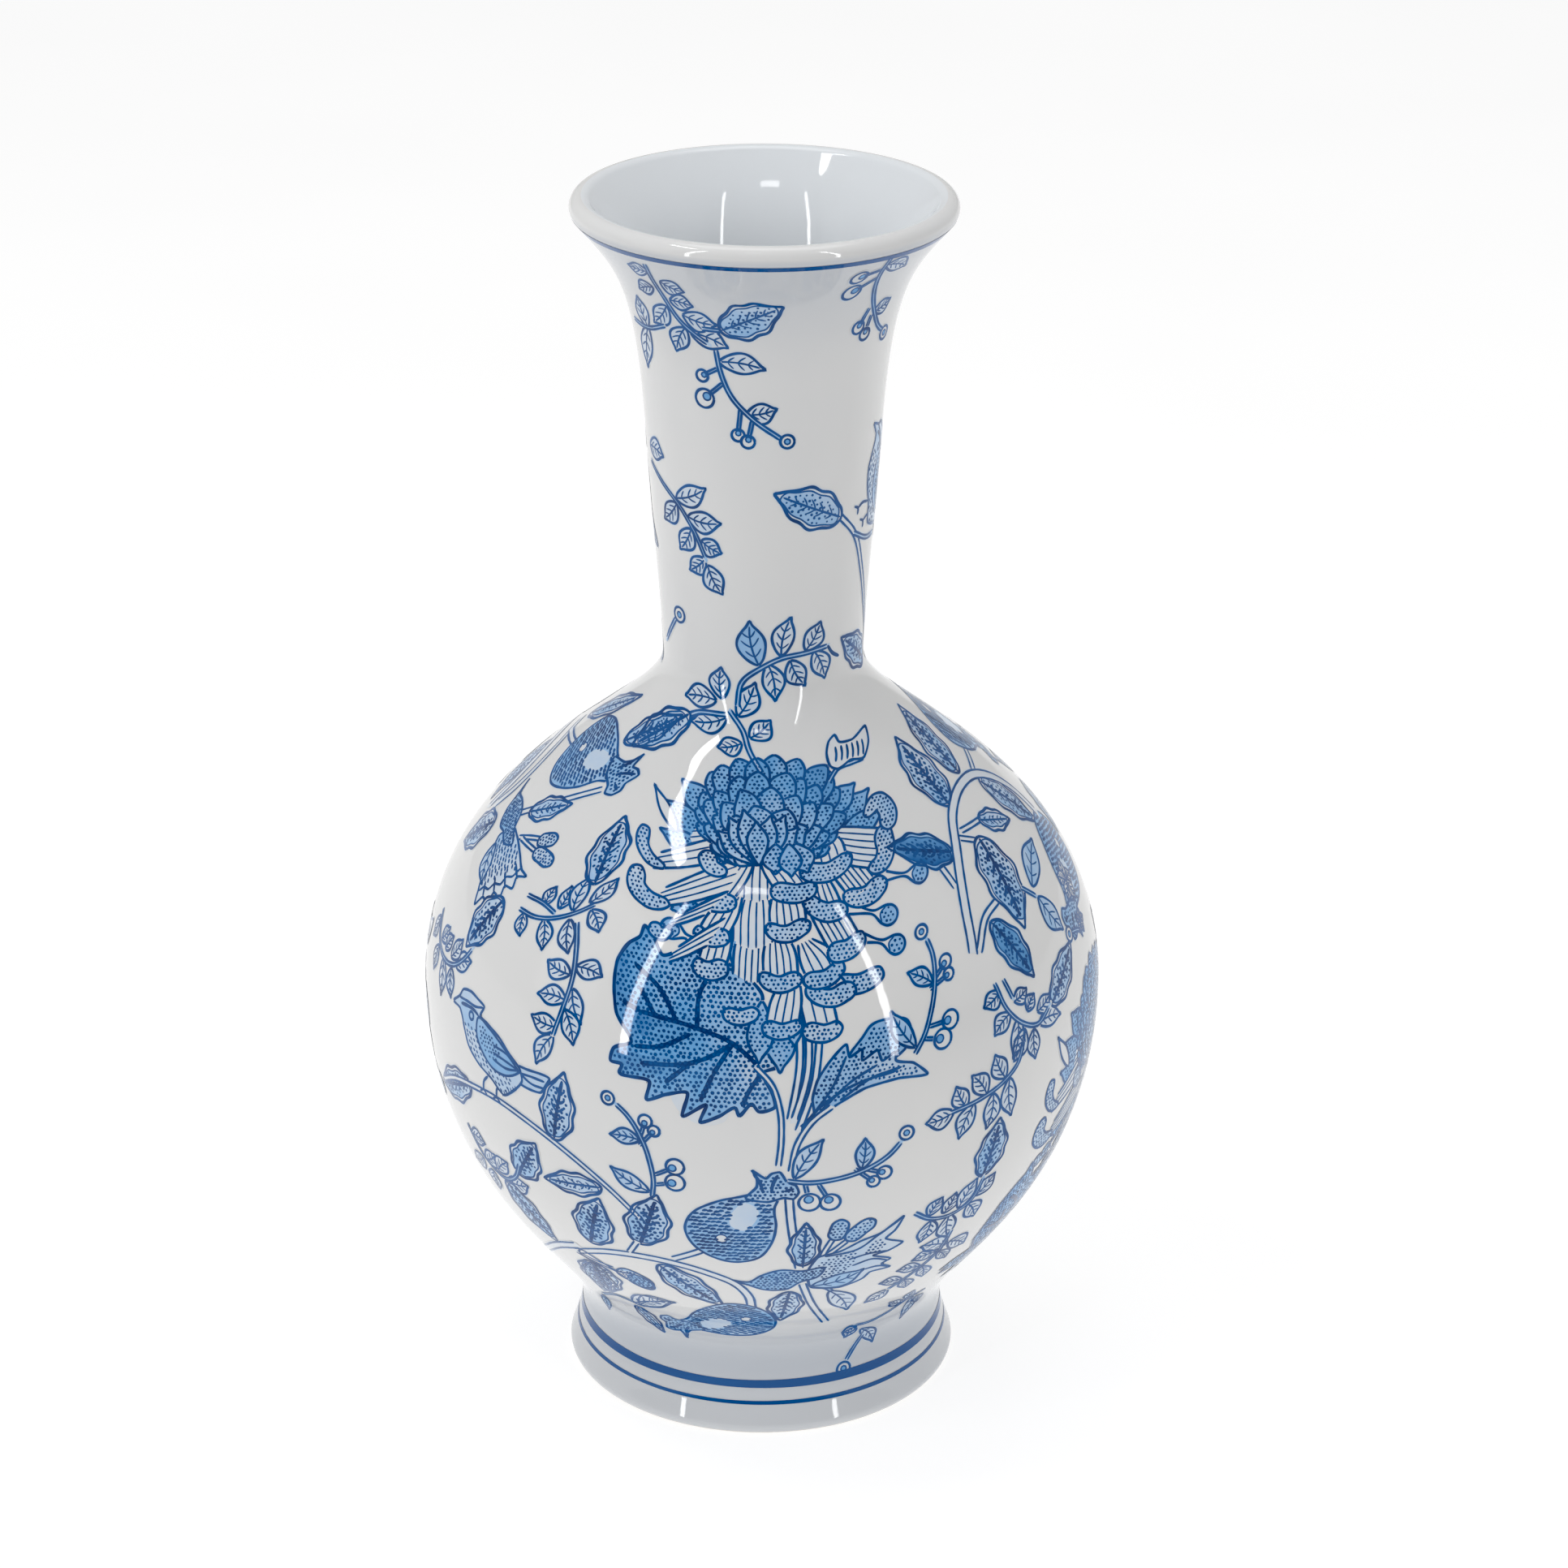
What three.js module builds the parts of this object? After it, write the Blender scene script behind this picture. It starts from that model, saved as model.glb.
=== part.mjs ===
// A blue-and-white porcelain bottle vase, about 400 mm tall, as a three.js scene graph.
// Millimetres, +Z up. The origin is the centre of the foot, on the plane that the vase stands on.
//
// A vase of this size is thrown in sections that are joined with liquid clay before glazing: a foot
// ring, a floor, two half bodies, a neck, a flared mouth and a rolled lip. Each section is one solid.
import * as THREE from 'three';

// ---- driving dimensions -----------------------------------------------------------------------

const SEGMENTS = 48;              // facets around the vase
const WALL = 6;                   // wall thickness of body and neck

const LIP_RADIUS = 3.6;           // half the thickness of the rolled lip
const LIP_CENTRE = { r: 56.2, z: 397.6 };

const HEEL_RADIUS = 3;            // rounding at the bottom edge of the foot
const HEEL_CENTRE = { r: 61.6, z: 3 };
const FOOT_INNER_RADIUS = 53;     // bare foot ring, inner edge on the ground
const RECESS_RADIUS = 50;         // recess under the floor, at its roof
const FLOOR_SPLIT = 0.6;          // how far up the foot's outside curve the floor slab begins

// Stations are the places that the outline runs through: radius, height and lean. The lean is the
// angle of the outline from vertical there, positive where it runs outwards as it rises.
const WAIST = station(60.2, 22.2, 0);
const BELLY = station(110.1, 138.6, 0);
const THROAT = station(31.8, 253, 0);
const COLLAR = station(37.2, 331, 4);
const HEEL = onCircle(HEEL_CENTRE, HEEL_RADIUS, -18);
const LIP = onCircle(LIP_CENTRE, LIP_RADIUS, 40);

// The outside of each section is one smooth curve. A handle is how far the curve keeps the
// station's own direction before it turns towards the next station.
const footCurve = sweep(HEEL, 3.2, WAIST, 8.2);
const lowerBodyCurve = sweep(WAIST, 24, BELLY, 72);
const shoulderCurve = sweep(BELLY, 71, THROAT, 25);
const neckCurve = sweep(THROAT, 8, COLLAR, 60);
const mouthCurve = sweep(COLLAR, 44, LIP, 20);

// ---- outline helpers --------------------------------------------------------------------------

function station(r, z, leanDegrees) {
  return { r, z, lean: THREE.MathUtils.degToRad(leanDegrees) };
}

// The station on the outer side of a rounded edge, where the edge has the given lean.
function onCircle(centre, radius, leanDegrees) {
  const lean = THREE.MathUtils.degToRad(leanDegrees);
  return { r: centre.r + radius * Math.cos(lean), z: centre.z - radius * Math.sin(lean), lean };
}

function sweep(from, fromHandle, to, toHandle) {
  return {
    from,
    to,
    curve: new THREE.CubicBezierCurve(
      new THREE.Vector2(from.r, from.z),
      new THREE.Vector2(
        from.r + fromHandle * Math.sin(from.lean),
        from.z + fromHandle * Math.cos(from.lean)
      ),
      new THREE.Vector2(
        to.r - toHandle * Math.sin(to.lean),
        to.z - toHandle * Math.cos(to.lean)
      ),
      new THREE.Vector2(to.r, to.z)
    ),
  };
}

// The point of the inside wall that faces a station, square to the outline.
function insideStation(at, wall) {
  return new THREE.Vector2(at.r - wall * Math.cos(at.lean), at.z + wall * Math.sin(at.lean));
}

function outsidePoints(section, steps, start = 0, end = 1) {
  const points = [];
  for (let i = 0; i <= steps; i++) {
    points.push(section.curve.getPoint(start + ((end - start) * i) / steps));
  }
  return points;
}

// The inside wall from the top of a section to its bottom. The thickness runs evenly from
// bottomWall to topWall, and both ends are worked out from the stations, so that neighbouring
// sections share them exactly.
function insidePoints(section, steps, bottomWall, topWall) {
  const points = [insideStation(section.to, topWall)];
  for (let i = steps - 1; i > 0; i--) {
    const t = i / steps;
    const wall = THREE.MathUtils.lerp(bottomWall, topWall, t);
    const along = section.curve.getTangent(t);
    const inwards = new THREE.Vector2(-along.y, along.x);
    points.push(section.curve.getPoint(t).addScaledVector(inwards, wall));
  }
  points.push(insideStation(section.from, bottomWall));
  return points;
}

// Points on a rounded edge, between two angles that are counted from the outward horizontal.
function roundedEdge(centre, radius, startDegrees, endDegrees, steps) {
  const points = [];
  for (let i = 0; i <= steps; i++) {
    const angle = THREE.MathUtils.degToRad(THREE.MathUtils.lerp(startDegrees, endDegrees, i / steps));
    points.push(new THREE.Vector2(
      centre.r + radius * Math.cos(angle),
      centre.z + radius * Math.sin(angle)
    ));
  }
  return points;
}

// ---- materials --------------------------------------------------------------------------------

const porcelain = new THREE.MeshStandardMaterial({ color: 0xe6e9ee, roughness: 0.12, metalness: 0 });

// ---- pieces -----------------------------------------------------------------------------------

// Turns a profile around the vase's axis. The profile runs up the outside and down the inside.
function turned(name, profile) {
  const geometry = new THREE.LatheGeometry(profile, SEGMENTS);
  geometry.rotateX(Math.PI / 2);
  const mesh = new THREE.Mesh(geometry, porcelain);
  mesh.name = name;
  return mesh;
}

function ring(name, profile) {
  return turned(name, [...profile, profile[0].clone()]);
}

function footRing() {
  const outside = outsidePoints(footCurve, 3, 0, FLOOR_SPLIT);
  const top = outside[outside.length - 1].y;
  return ring('foot_ring', [
    new THREE.Vector2(FOOT_INNER_RADIUS, 0),
    ...roundedEdge(HEEL_CENTRE, HEEL_RADIUS, -90, -THREE.MathUtils.radToDeg(HEEL.lean), 4),
    ...outside.slice(1),
    new THREE.Vector2(RECESS_RADIUS, top),
  ]);
}

function baseFloor() {
  const outside = outsidePoints(footCurve, 2, FLOOR_SPLIT, 1);
  return turned('base_floor', [
    new THREE.Vector2(0, outside[0].y),
    ...outside,
    new THREE.Vector2(0, WAIST.z),
  ]);
}

function wallSection(name, section, steps, topWall = WALL) {
  return ring(name, [
    ...outsidePoints(section, steps),
    ...insidePoints(section, steps, WALL, topWall),
  ]);
}

// The outer half of the rolled lip: it sits on the mouth's sloping top edge.
function lipRoll() {
  const start = -THREE.MathUtils.radToDeg(LIP.lean);
  const arc = roundedEdge(LIP_CENTRE, LIP_RADIUS, start, start + 180, 8);
  arc[0] = new THREE.Vector2(LIP.r, LIP.z);
  arc[arc.length - 1] = insideStation(LIP, 2 * LIP_RADIUS);
  return ring('lip_roll', arc);
}

const vase = new THREE.Group();
vase.add(
  footRing(),
  baseFloor(),
  wallSection('lower_body', lowerBodyCurve, 9),
  wallSection('shoulder', shoulderCurve, 10),
  wallSection('neck', neckCurve, 4),
  wallSection('flared_mouth', mouthCurve, 6, 2 * LIP_RADIUS),
  lipRoll()
);

export default vase;
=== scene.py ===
"""A blue-and-white porcelain bottle vase: glazed body sections with cobalt painting wrapped onto them."""
import math

import bpy
import numpy as np
from mathutils import Matrix, Vector
from mathutils.geometry import delaunay_2d_cdt


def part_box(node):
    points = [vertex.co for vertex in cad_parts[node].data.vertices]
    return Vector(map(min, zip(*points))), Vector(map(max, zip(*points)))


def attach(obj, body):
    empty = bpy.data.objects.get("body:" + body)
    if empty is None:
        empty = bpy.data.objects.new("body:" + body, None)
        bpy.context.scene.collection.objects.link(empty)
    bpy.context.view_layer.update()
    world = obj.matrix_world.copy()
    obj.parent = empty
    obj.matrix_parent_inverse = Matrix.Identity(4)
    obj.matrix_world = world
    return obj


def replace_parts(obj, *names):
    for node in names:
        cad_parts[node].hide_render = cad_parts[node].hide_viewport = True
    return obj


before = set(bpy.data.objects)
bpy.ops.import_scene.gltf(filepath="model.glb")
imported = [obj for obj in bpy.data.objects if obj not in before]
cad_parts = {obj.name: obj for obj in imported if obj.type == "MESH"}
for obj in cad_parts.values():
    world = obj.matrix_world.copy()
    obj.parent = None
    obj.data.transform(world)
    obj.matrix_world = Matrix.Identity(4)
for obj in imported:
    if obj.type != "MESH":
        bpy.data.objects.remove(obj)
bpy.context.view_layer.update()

# ---- driving sizes, in millimetres unless a name says otherwise ------------------------------------

MM = 0.001
WALL = 6.0
LIP_RADIUS = 3.6
HEEL_RADIUS = 3.0
WAIST_RADIUS = 60.2
THROAT_RADIUS = 31.8
COLLAR_RADIUS = 37.2
FOOT_INNER_RADIUS = 53.0
RECESS_RADIUS = 50.0
FLOOR_SPLIT = 0.6              # how far up the foot's curve the floor slab begins
BARE_HEIGHT = 1.0              # the unglazed band at the very bottom of the foot ring

AROUND = 384                   # steps round the vase
SEED = 20

# Paint lies in the glaze: each layer is lifted a hair above the wall, so that the upper one shows.
HALO_LIFT = 0.03
WASH_LIFT = 0.06
LINE_LIFT = 0.10
LAYER_STEP = 0.015             # between neighbouring drawings, where they meet
HALO_TONE = 0.40               # how blue the glaze is right beside a line
HALO_SCATTER = 0.01
BLEED = 0.5                    # how far the cobalt spreads out of a line

rng = np.random.default_rng(SEED)


# ---- the vase's outline ----------------------------------------------------------------------------

def station(radius, height, lean_degrees):
    """A place that the outline runs through; lean is its angle from vertical, outwards positive."""
    return np.array([radius, height]), math.radians(lean_degrees)


def on_circle(centre, radius, lean_degrees):
    lean = math.radians(lean_degrees)
    return centre + radius * np.array([math.cos(lean), -math.sin(lean)]), lean


def along(lean):
    return np.array([math.sin(lean), math.cos(lean)])


def as_arrays(*points):
    return [np.asarray(point, float) for point in points]


def unit(vector):
    return vector / np.linalg.norm(vector)


def lengths_along(points):
    """How far each point lies along a line through all of them."""
    return np.concatenate([[0], np.cumsum(np.linalg.norm(np.diff(points, axis=0), axis=1))])


def sweep(start, start_handle, end, end_handle, steps, first=0.0, last=1.0):
    """Points and wall directions on the smooth curve between two stations."""
    (p0, lean0), (p3, lean3) = start, end
    p1 = p0 + start_handle * along(lean0)
    p2 = p3 - end_handle * along(lean3)
    t = np.linspace(first, last, steps + 1)[:, None]
    s = 1 - t
    points = s ** 3 * p0 + 3 * s * s * t * p1 + 3 * s * t * t * p2 + t ** 3 * p3
    tangents = s * s * (p1 - p0) + 2 * s * t * (p2 - p1) + t * t * (p3 - p2)
    tangents /= np.linalg.norm(tangents, axis=1)[:, None]
    return points, np.stack([tangents[:, 1], -tangents[:, 0]], 1)


def rounded_edge(centre, radius, start_degrees, end_degrees, steps):
    angle = np.radians(np.linspace(start_degrees, end_degrees, steps + 1))
    outwards = np.stack([np.cos(angle), np.sin(angle)], 1)
    return centre + radius * outwards, outwards


def low(node):
    """The lower corner of a CAD node's box."""
    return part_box(node)[0] / MM


def high(node):
    """The upper corner of a CAD node's box."""
    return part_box(node)[1] / MM


LIP_CENTRE = np.array([high("lip_roll").x - LIP_RADIUS, high("lip_roll").z - LIP_RADIUS])
HEEL_CENTRE = np.array([high("foot_ring").x - HEEL_RADIUS, HEEL_RADIUS])
WAIST = station(WAIST_RADIUS, low("lower_body").z, 0)
BELLY = station(high("lower_body").x, low("shoulder").z, 0)
THROAT = station(THROAT_RADIUS, low("neck").z, 0)
COLLAR = station(COLLAR_RADIUS, low("flared_mouth").z, 4)
HEEL_ANGLE = 18                # where the foot's curve leaves the rounded heel, up from level
LIP_ANGLE = -40                # where the mouth's curve meets the rolled lip
HEEL = on_circle(HEEL_CENTRE, HEEL_RADIUS, -HEEL_ANGLE)
LIP = on_circle(LIP_CENTRE, LIP_RADIUS, -LIP_ANGLE)


def foot_curve(steps, first=0.0, last=1.0):
    return sweep(HEEL, 3.2, WAIST, 8.2, steps, first, last)


def lower_body_curve(steps):
    return sweep(WAIST, 24, BELLY, 72, steps)


def shoulder_curve(steps):
    return sweep(BELLY, 71, THROAT, 25, steps)


def neck_curve(steps):
    return sweep(THROAT, 8, COLLAR, 60, steps)


def mouth_curve(steps):
    return sweep(COLLAR, 44, LIP, 20, steps)


class Surface:
    """The outside of the vase, addressed by azimuth and by arc length up its outline."""

    def __init__(self):
        parts = [
            rounded_edge(HEEL_CENTRE, HEEL_RADIUS, -90, HEEL_ANGLE, 24),
            foot_curve(60), lower_body_curve(240), shoulder_curve(240),
            neck_curve(120), mouth_curve(120),
            rounded_edge(LIP_CENTRE, LIP_RADIUS, LIP_ANGLE, 80, 40),
        ]
        outline = np.vstack([parts[0][0]] + [points[1:] for points, _ in parts[1:]])
        outwards = np.vstack([parts[0][1]] + [normals[1:] for _, normals in parts[1:]])
        self.radius, self.height = outline.T
        self.out_r, self.out_z = outwards.T
        self.arc = lengths_along(outline)

    def arc_at(self, height):
        return float(np.interp(height, self.height, self.arc))

    def radius_at(self, arc):
        return np.interp(arc, self.arc, self.radius)

    def place(self, azimuth, arc, lift):
        """Positions in metres and outward directions; azimuth 0 faces -Y and grows towards +X."""
        out_r = np.interp(arc, self.arc, self.out_r)
        out_z = np.interp(arc, self.arc, self.out_z)
        length = np.hypot(out_r, out_z)
        out_r, out_z = out_r / length, out_z / length
        radius = self.radius_at(arc) + lift * out_r
        height = np.interp(arc, self.arc, self.height) + lift * out_z
        sin, cos = np.sin(azimuth), np.cos(azimuth)
        points = np.stack([radius * sin, -radius * cos, height], -1) * MM
        return points, np.stack([out_r * sin, -out_r * cos, out_z], -1)


surface = Surface()


# ---- meshes ----------------------------------------------------------------------------------------

def make_object(name, points, faces, directions, material, tone=None):
    """A mesh object; faces has an array for each face size, directions a normal for each corner."""
    mesh = bpy.data.meshes.new(name)
    sizes = np.concatenate([np.full(len(f), f.shape[1]) for f in faces])
    corners = np.concatenate([f.ravel() for f in faces])
    mesh.vertices.add(len(points))
    mesh.vertices.foreach_set("co", np.asarray(points, np.float32).ravel())
    mesh.loops.add(len(corners))
    mesh.loops.foreach_set("vertex_index", corners.astype(np.int32))
    mesh.polygons.add(len(sizes))
    starts = np.concatenate([[0], np.cumsum(sizes)[:-1]])
    mesh.polygons.foreach_set("loop_start", starts.astype(np.int32))
    mesh.update(calc_edges=True)
    mesh.polygons.foreach_set("use_smooth", np.ones(len(sizes), bool))
    if tone is not None:
        layer = mesh.attributes.new("tone", "FLOAT", "POINT")
        layer.data.foreach_set("value", np.asarray(tone, np.float32))
    mesh.normals_split_custom_set(np.concatenate([d.reshape(-1, 3) for d in directions]).tolist())
    mesh.materials.append(material)
    piece = bpy.data.objects.new(name, mesh)
    bpy.context.scene.collection.objects.link(piece)
    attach(piece, "root")
    return piece


def stacked(groups):
    """One array for each face size that occurs."""
    return [np.vstack(group) for group in groups.values() if group]


def turned(name, stretches, material):
    """A solid of revolution from stretches of outline, each of points and wall directions.

    The stretches follow each other, up the outside and down the inside. The last one ends where the
    first one starts, unless both of those places are on the axis.
    """
    angle = np.linspace(0, 2 * math.pi, AROUND, endpoint=False)
    around = np.stack([np.sin(angle), -np.cos(angle), np.zeros(AROUND)], 1)
    upwards = np.array([0, 0, 1.0])
    outline = np.vstack([stretches[0][0][:1]] + [points[1:] for points, _ in stretches])
    if outline[0][0] != 0:
        outline = outline[:-1]
    points, rings, used = [], [], 0
    for radius, height in outline:
        ring = around * radius + upwards * height
        if radius == 0:
            ring = ring[:1]
        rings.append(used + np.arange(AROUND) % len(ring))
        points.append(ring)
        used += len(ring)
    faces, directions = {4: [], 3: []}, {4: [], 3: []}
    row = 0
    for stretch, outwards in stretches:
        out = around * outwards[:, :1, None] + upwards * outwards[:, 1:, None]
        out_next = np.roll(out, -1, axis=1)
        for i in range(len(stretch) - 1):
            a, b = rings[row], rings[(row + 1) % len(rings)]
            row += 1
            corners = [a, np.roll(a, -1), np.roll(b, -1), b]
            facing = [out[i], out_next[i], out_next[i + 1], out[i + 1]]
            from_axis, to_axis = stretch[i][0] == 0, stretch[i + 1][0] == 0
            kept = [0, 2, 3] if from_axis else [0, 1, 2] if to_axis else [0, 1, 2, 3]
            faces[len(kept)].append(np.stack([corners[k] for k in kept], 1))
            directions[len(kept)].append(np.stack([facing[k] for k in kept], 1))
    return make_object(name, np.vstack(points) * MM, stacked(faces), stacked(directions), material)


def straight(a, b, steps=1):
    """A straight stretch of outline, with the direction that faces its right-hand side."""
    a, b = as_arrays(a, b)
    t = np.linspace(0, 1, steps + 1)[:, None]
    run = unit(b - a)
    return a + t * (b - a), np.tile([run[1], -run[0]], (steps + 1, 1))


def inside(curve, wall_bottom, wall_top):
    """The inside wall that goes with an outside curve, from its top to its bottom."""
    points, outwards = curve
    wall = np.linspace(wall_bottom, wall_top, len(points))[:, None]
    return (points - wall * outwards)[::-1], -outwards[::-1]


def wall_section(name, curve, steps, inner_steps, material, top_wall=WALL):
    """A stretch of the hollow body between two level joins, with its inside wall."""
    outer = curve(steps)
    inner = inside(curve(inner_steps), WALL, top_wall)
    return turned(name, [
        outer,
        straight(outer[0][-1], inner[0][0]),
        inner,
        straight(inner[0][-1], outer[0][0]),
    ], material)


# ---- materials -------------------------------------------------------------------------------------

class Nodes:
    """A short way to write node trees: each call adds a node and links or sets its inputs."""

    def __init__(self, name):
        self.material = bpy.data.materials.new(name)
        self.material.use_nodes = True
        self.tree = self.material.node_tree
        self.shader = self.tree.nodes["Principled BSDF"]

    def add(self, kind, settings=None, **inputs):
        node = self.tree.nodes.new(kind)
        for key, value in (settings or {}).items():
            setattr(node, key, value)
        self.feed_all(node, inputs)
        return node

    def shade(self, **inputs):
        """Set or link the inputs of the surface shader."""
        self.feed_all(self.shader, inputs)

    def feed_all(self, node, inputs):
        for key, value in inputs.items():
            self.feed(node.inputs[key.replace("_", " ")], value)

    def feed(self, socket, value):
        if isinstance(value, bpy.types.NodeSocket):
            self.tree.links.new(value, socket)
        else:
            socket.default_value = value

    def place(self):
        return self.add("ShaderNodeTexCoord").outputs["Object"]

    def noise(self, scale, detail=2.0, roughness=0.5):
        node = self.add("ShaderNodeTexNoise", Vector=self.place(), Scale=scale, Detail=detail,
                        Roughness=roughness)
        return node.outputs["Fac"]

    def ramp(self, factor, stops):
        node = self.add("ShaderNodeValToRGB", Fac=factor)
        elements = node.color_ramp.elements
        while len(elements) < len(stops):
            elements.new(0.5)
        for element, (position, colour) in zip(elements, stops):
            element.position = position
            element.color = (*colour, 1)
        return node.outputs["Color"]

    def mix(self, factor, a, b):
        """Colour a where the factor is 0 and colour b where it is 1."""
        node = self.add("ShaderNodeMix", {"data_type": "RGBA"})
        self.feed(node.inputs[0], factor)
        for socket, value in ((node.inputs[6], a), (node.inputs[7], b)):
            self.feed(socket, value if isinstance(value, bpy.types.NodeSocket) else (*value, 1))
        return node.outputs[2]

    def math(self, operation, a, b, kind="ShaderNodeMath", output=0):
        node = self.add(kind, {"operation": operation})
        self.feed(node.inputs[0], a)
        self.feed(node.inputs[1], b)
        return node.outputs[output]

    def vector_math(self, operation, a, b, output=0):
        return self.math(operation, a, b, "ShaderNodeVectorMath", output)

    def fade(self, value, start, end, settings=None):
        """0 at the start value and 1 at the end value."""
        node = self.add("ShaderNodeMapRange", settings, Value=value, From_Min=start, From_Max=end)
        return node.outputs[0]


PORCELAIN = (0.72, 0.72, 0.715)
PORCELAIN_CLOUD = (0.69, 0.695, 0.70)
# The cool grey of the painted shade.
PORCELAIN_PAINTED_SHADE = (0.49, 0.52, 0.565)
# Painted light: the inside walls, seen in the mouth, are painted lighter and bluer than the outside.
PORCELAIN_INSIDE_PAINTED_LIGHT = (0.74, 0.775, 0.81)
SPECK = (0.16, 0.085, 0.03)
WASH_PALE = (0.50, 0.635, 0.80)
WASH_MID = (0.15, 0.38, 0.69)
WASH_DEEP = (0.006, 0.12, 0.36)
LINE_DARK = (0.0003, 0.034, 0.145)
LINE_MID = (0.002, 0.088, 0.29)
BAND_BLUE = (0.001, 0.075, 0.26)
BARE_DARK = (0.60, 0.56, 0.49)
BARE_PALE = (0.72, 0.69, 0.63)
# Painted shade, a cool grey laid into the glaze colour by height: in the waist above the foot's bands,
# lighter again towards the heel, and on the downward faces under the rolled lip.
PAINTED_SHADE_AT_FOOT = (58.0, 26.0)
PAINTED_SHADE_LIFTS_AT_HEEL = (24.0, 8.0)
PAINTED_SHADE_AT_LIP = (350.0, 392.0)
# How much the painted shade lifts near the heel, and how strong it is under the lip.
HEEL_SHADE_LIFT = 0.45
UNDER_LIP_SHADE_STRENGTH = 0.62
INSIDE_PAINTED_LIGHT_STRENGTH = 0.8
SPECK_CELLS = 55.0             # cells to the metre, of which a few hold a speck
SPECK_CHOICE = 0.985
SPECK_RADIUS = 0.035
SPECK_STRENGTH = 0.8


def porcelain_colour_with_painted_light(n):
    """White glaze with a few iron specks from the clay, and painted light: a painted shade, cooler and
    deeper, over the waist and under the rolled lip, and the inside walls painted lighter and bluer.
    """
    cloud = n.ramp(n.noise(14, 3), [(0.35, PORCELAIN), (0.75, PORCELAIN_CLOUD)])
    normal = n.add("ShaderNodeTexCoord").outputs["Normal"]
    height = n.add("ShaderNodeSeparateXYZ", Vector=n.place()).outputs["Z"]
    # Painted shade by height: over the waist above the foot, lifting near the heel, and towards the lip.
    at_foot, at_heel, at_lip = (
        n.fade(height, start * MM, end * MM, {"interpolation_type": "SMOOTHSTEP"})
        for start, end in (PAINTED_SHADE_AT_FOOT, PAINTED_SHADE_LIFTS_AT_HEEL, PAINTED_SHADE_AT_LIP)
    )
    # Painted shade on faces that look down, here under the rolled lip.
    underside = n.fade(n.add("ShaderNodeSeparateXYZ", Vector=normal).outputs["Z"], 0.1, -0.3)
    under_lip = n.math("MULTIPLY", n.math("MULTIPLY", at_lip, underside), UNDER_LIP_SHADE_STRENGTH)
    waist = n.math("SUBTRACT", at_foot, n.math("MULTIPLY", at_heel, HEEL_SHADE_LIFT))
    # Painted light: walls that face the axis, inside the vase, are painted lighter and bluer.
    from_axis = n.vector_math("MULTIPLY", n.place(), (1, 1, 0))
    faces_out = n.vector_math("DOT_PRODUCT", normal, from_axis, "Value")
    inside_wall = n.math("LESS_THAN", faces_out, -0.003)
    cloud = n.mix(n.math("MULTIPLY", inside_wall, INSIDE_PAINTED_LIGHT_STRENGTH), cloud, PORCELAIN_INSIDE_PAINTED_LIGHT)
    # The painted shade laid over the glaze colour.
    with_painted_shade = n.mix(n.math("ADD", waist, under_lip), cloud, PORCELAIN_PAINTED_SHADE)
    cells = n.add("ShaderNodeTexVoronoi", {"feature": "F1"}, Vector=n.place(), Scale=SPECK_CELLS)
    cell_value = n.add("ShaderNodeSeparateColor", Color=cells.outputs["Color"]).outputs[0]
    chosen = n.math("GREATER_THAN", cell_value, SPECK_CHOICE)
    near = n.math("LESS_THAN", cells.outputs["Distance"], SPECK_RADIUS)
    speck = n.math("MULTIPLY", n.math("MULTIPLY", chosen, near), SPECK_STRENGTH)
    return n.mix(speck, with_painted_shade, SPECK)


def glaze(n, colour):
    """Clear gloss over a colour, with the faint ripple that a fired glaze has."""
    ripple = n.add("ShaderNodeBump", Height=n.noise(70, 2), Strength=0.018, Distance=0.004)
    n.shade(Base_Color=colour, Normal=ripple.outputs[0], Coat_Normal=ripple.outputs[0], Roughness=0.5,
            Specular_IOR_Level=0.0, Coat_Weight=1.0, Coat_Roughness=0.04, Coat_IOR=1.4)
    return n.material


def porcelain_material():
    n = Nodes("glazed_porcelain")
    return glaze(n, porcelain_colour_with_painted_light(n))


def wash_material():
    """Cobalt thinned with water: the tone of the mesh sets how strong it is."""
    n = Nodes("cobalt_wash")
    tone = n.add("ShaderNodeAttribute", {"attribute_name": "tone"}).outputs["Fac"]
    pooling = n.math("MULTIPLY", n.math("SUBTRACT", n.noise(70, 4), 0.5), 1.3)
    strength = n.math("MULTIPLY", tone, n.math("ADD", pooling, 1.0))
    cover = n.fade(strength, 0.0, 0.3)
    blue = n.ramp(strength, [(0.1, WASH_PALE), (0.5, WASH_MID), (1.0, WASH_DEEP)])
    return glaze(n, n.mix(cover, porcelain_colour_with_painted_light(n), blue))


def line_material():
    """Undiluted cobalt: the tone of the mesh says how heavy a stroke is, and heavy ones are darker."""
    n = Nodes("cobalt_line")
    weight = n.add("ShaderNodeAttribute", {"attribute_name": "tone"}).outputs["Fac"]
    thinness = n.math("SUBTRACT", n.noise(90, 3), n.math("MULTIPLY", weight, 0.24))
    return glaze(n, n.ramp(thinness, [(0.2, LINE_DARK), (0.52, LINE_MID)]))


def band_material():
    """Cobalt laid on with a full brush while the vase turns, so it streaks a little round it."""
    n = Nodes("cobalt_band")
    streaks = n.add("ShaderNodeMapping", Vector=n.place(), Scale=(30, 30, 400)).outputs[0]
    cloud = n.add("ShaderNodeTexNoise", Vector=streaks, Scale=1.0, Detail=3.0).outputs["Fac"]
    return glaze(n, n.ramp(cloud, [(0.3, LINE_MID), (0.6, BAND_BLUE)]))


def bare_material():
    """Unglazed porcelain: matt, a little warm, with a fine grain."""
    n = Nodes("bare_porcelain")
    mottle = n.ramp(n.noise(400, 4, 0.7), [(0.3, BARE_DARK), (0.7, BARE_PALE)])
    grain = n.add("ShaderNodeBump", Height=n.noise(1800, 3), Strength=0.3, Distance=0.0005)
    n.shade(Base_Color=mottle, Normal=grain.outputs[0], Roughness=0.8)
    return n.material


# ---- the body --------------------------------------------------------------------------------------

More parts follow.
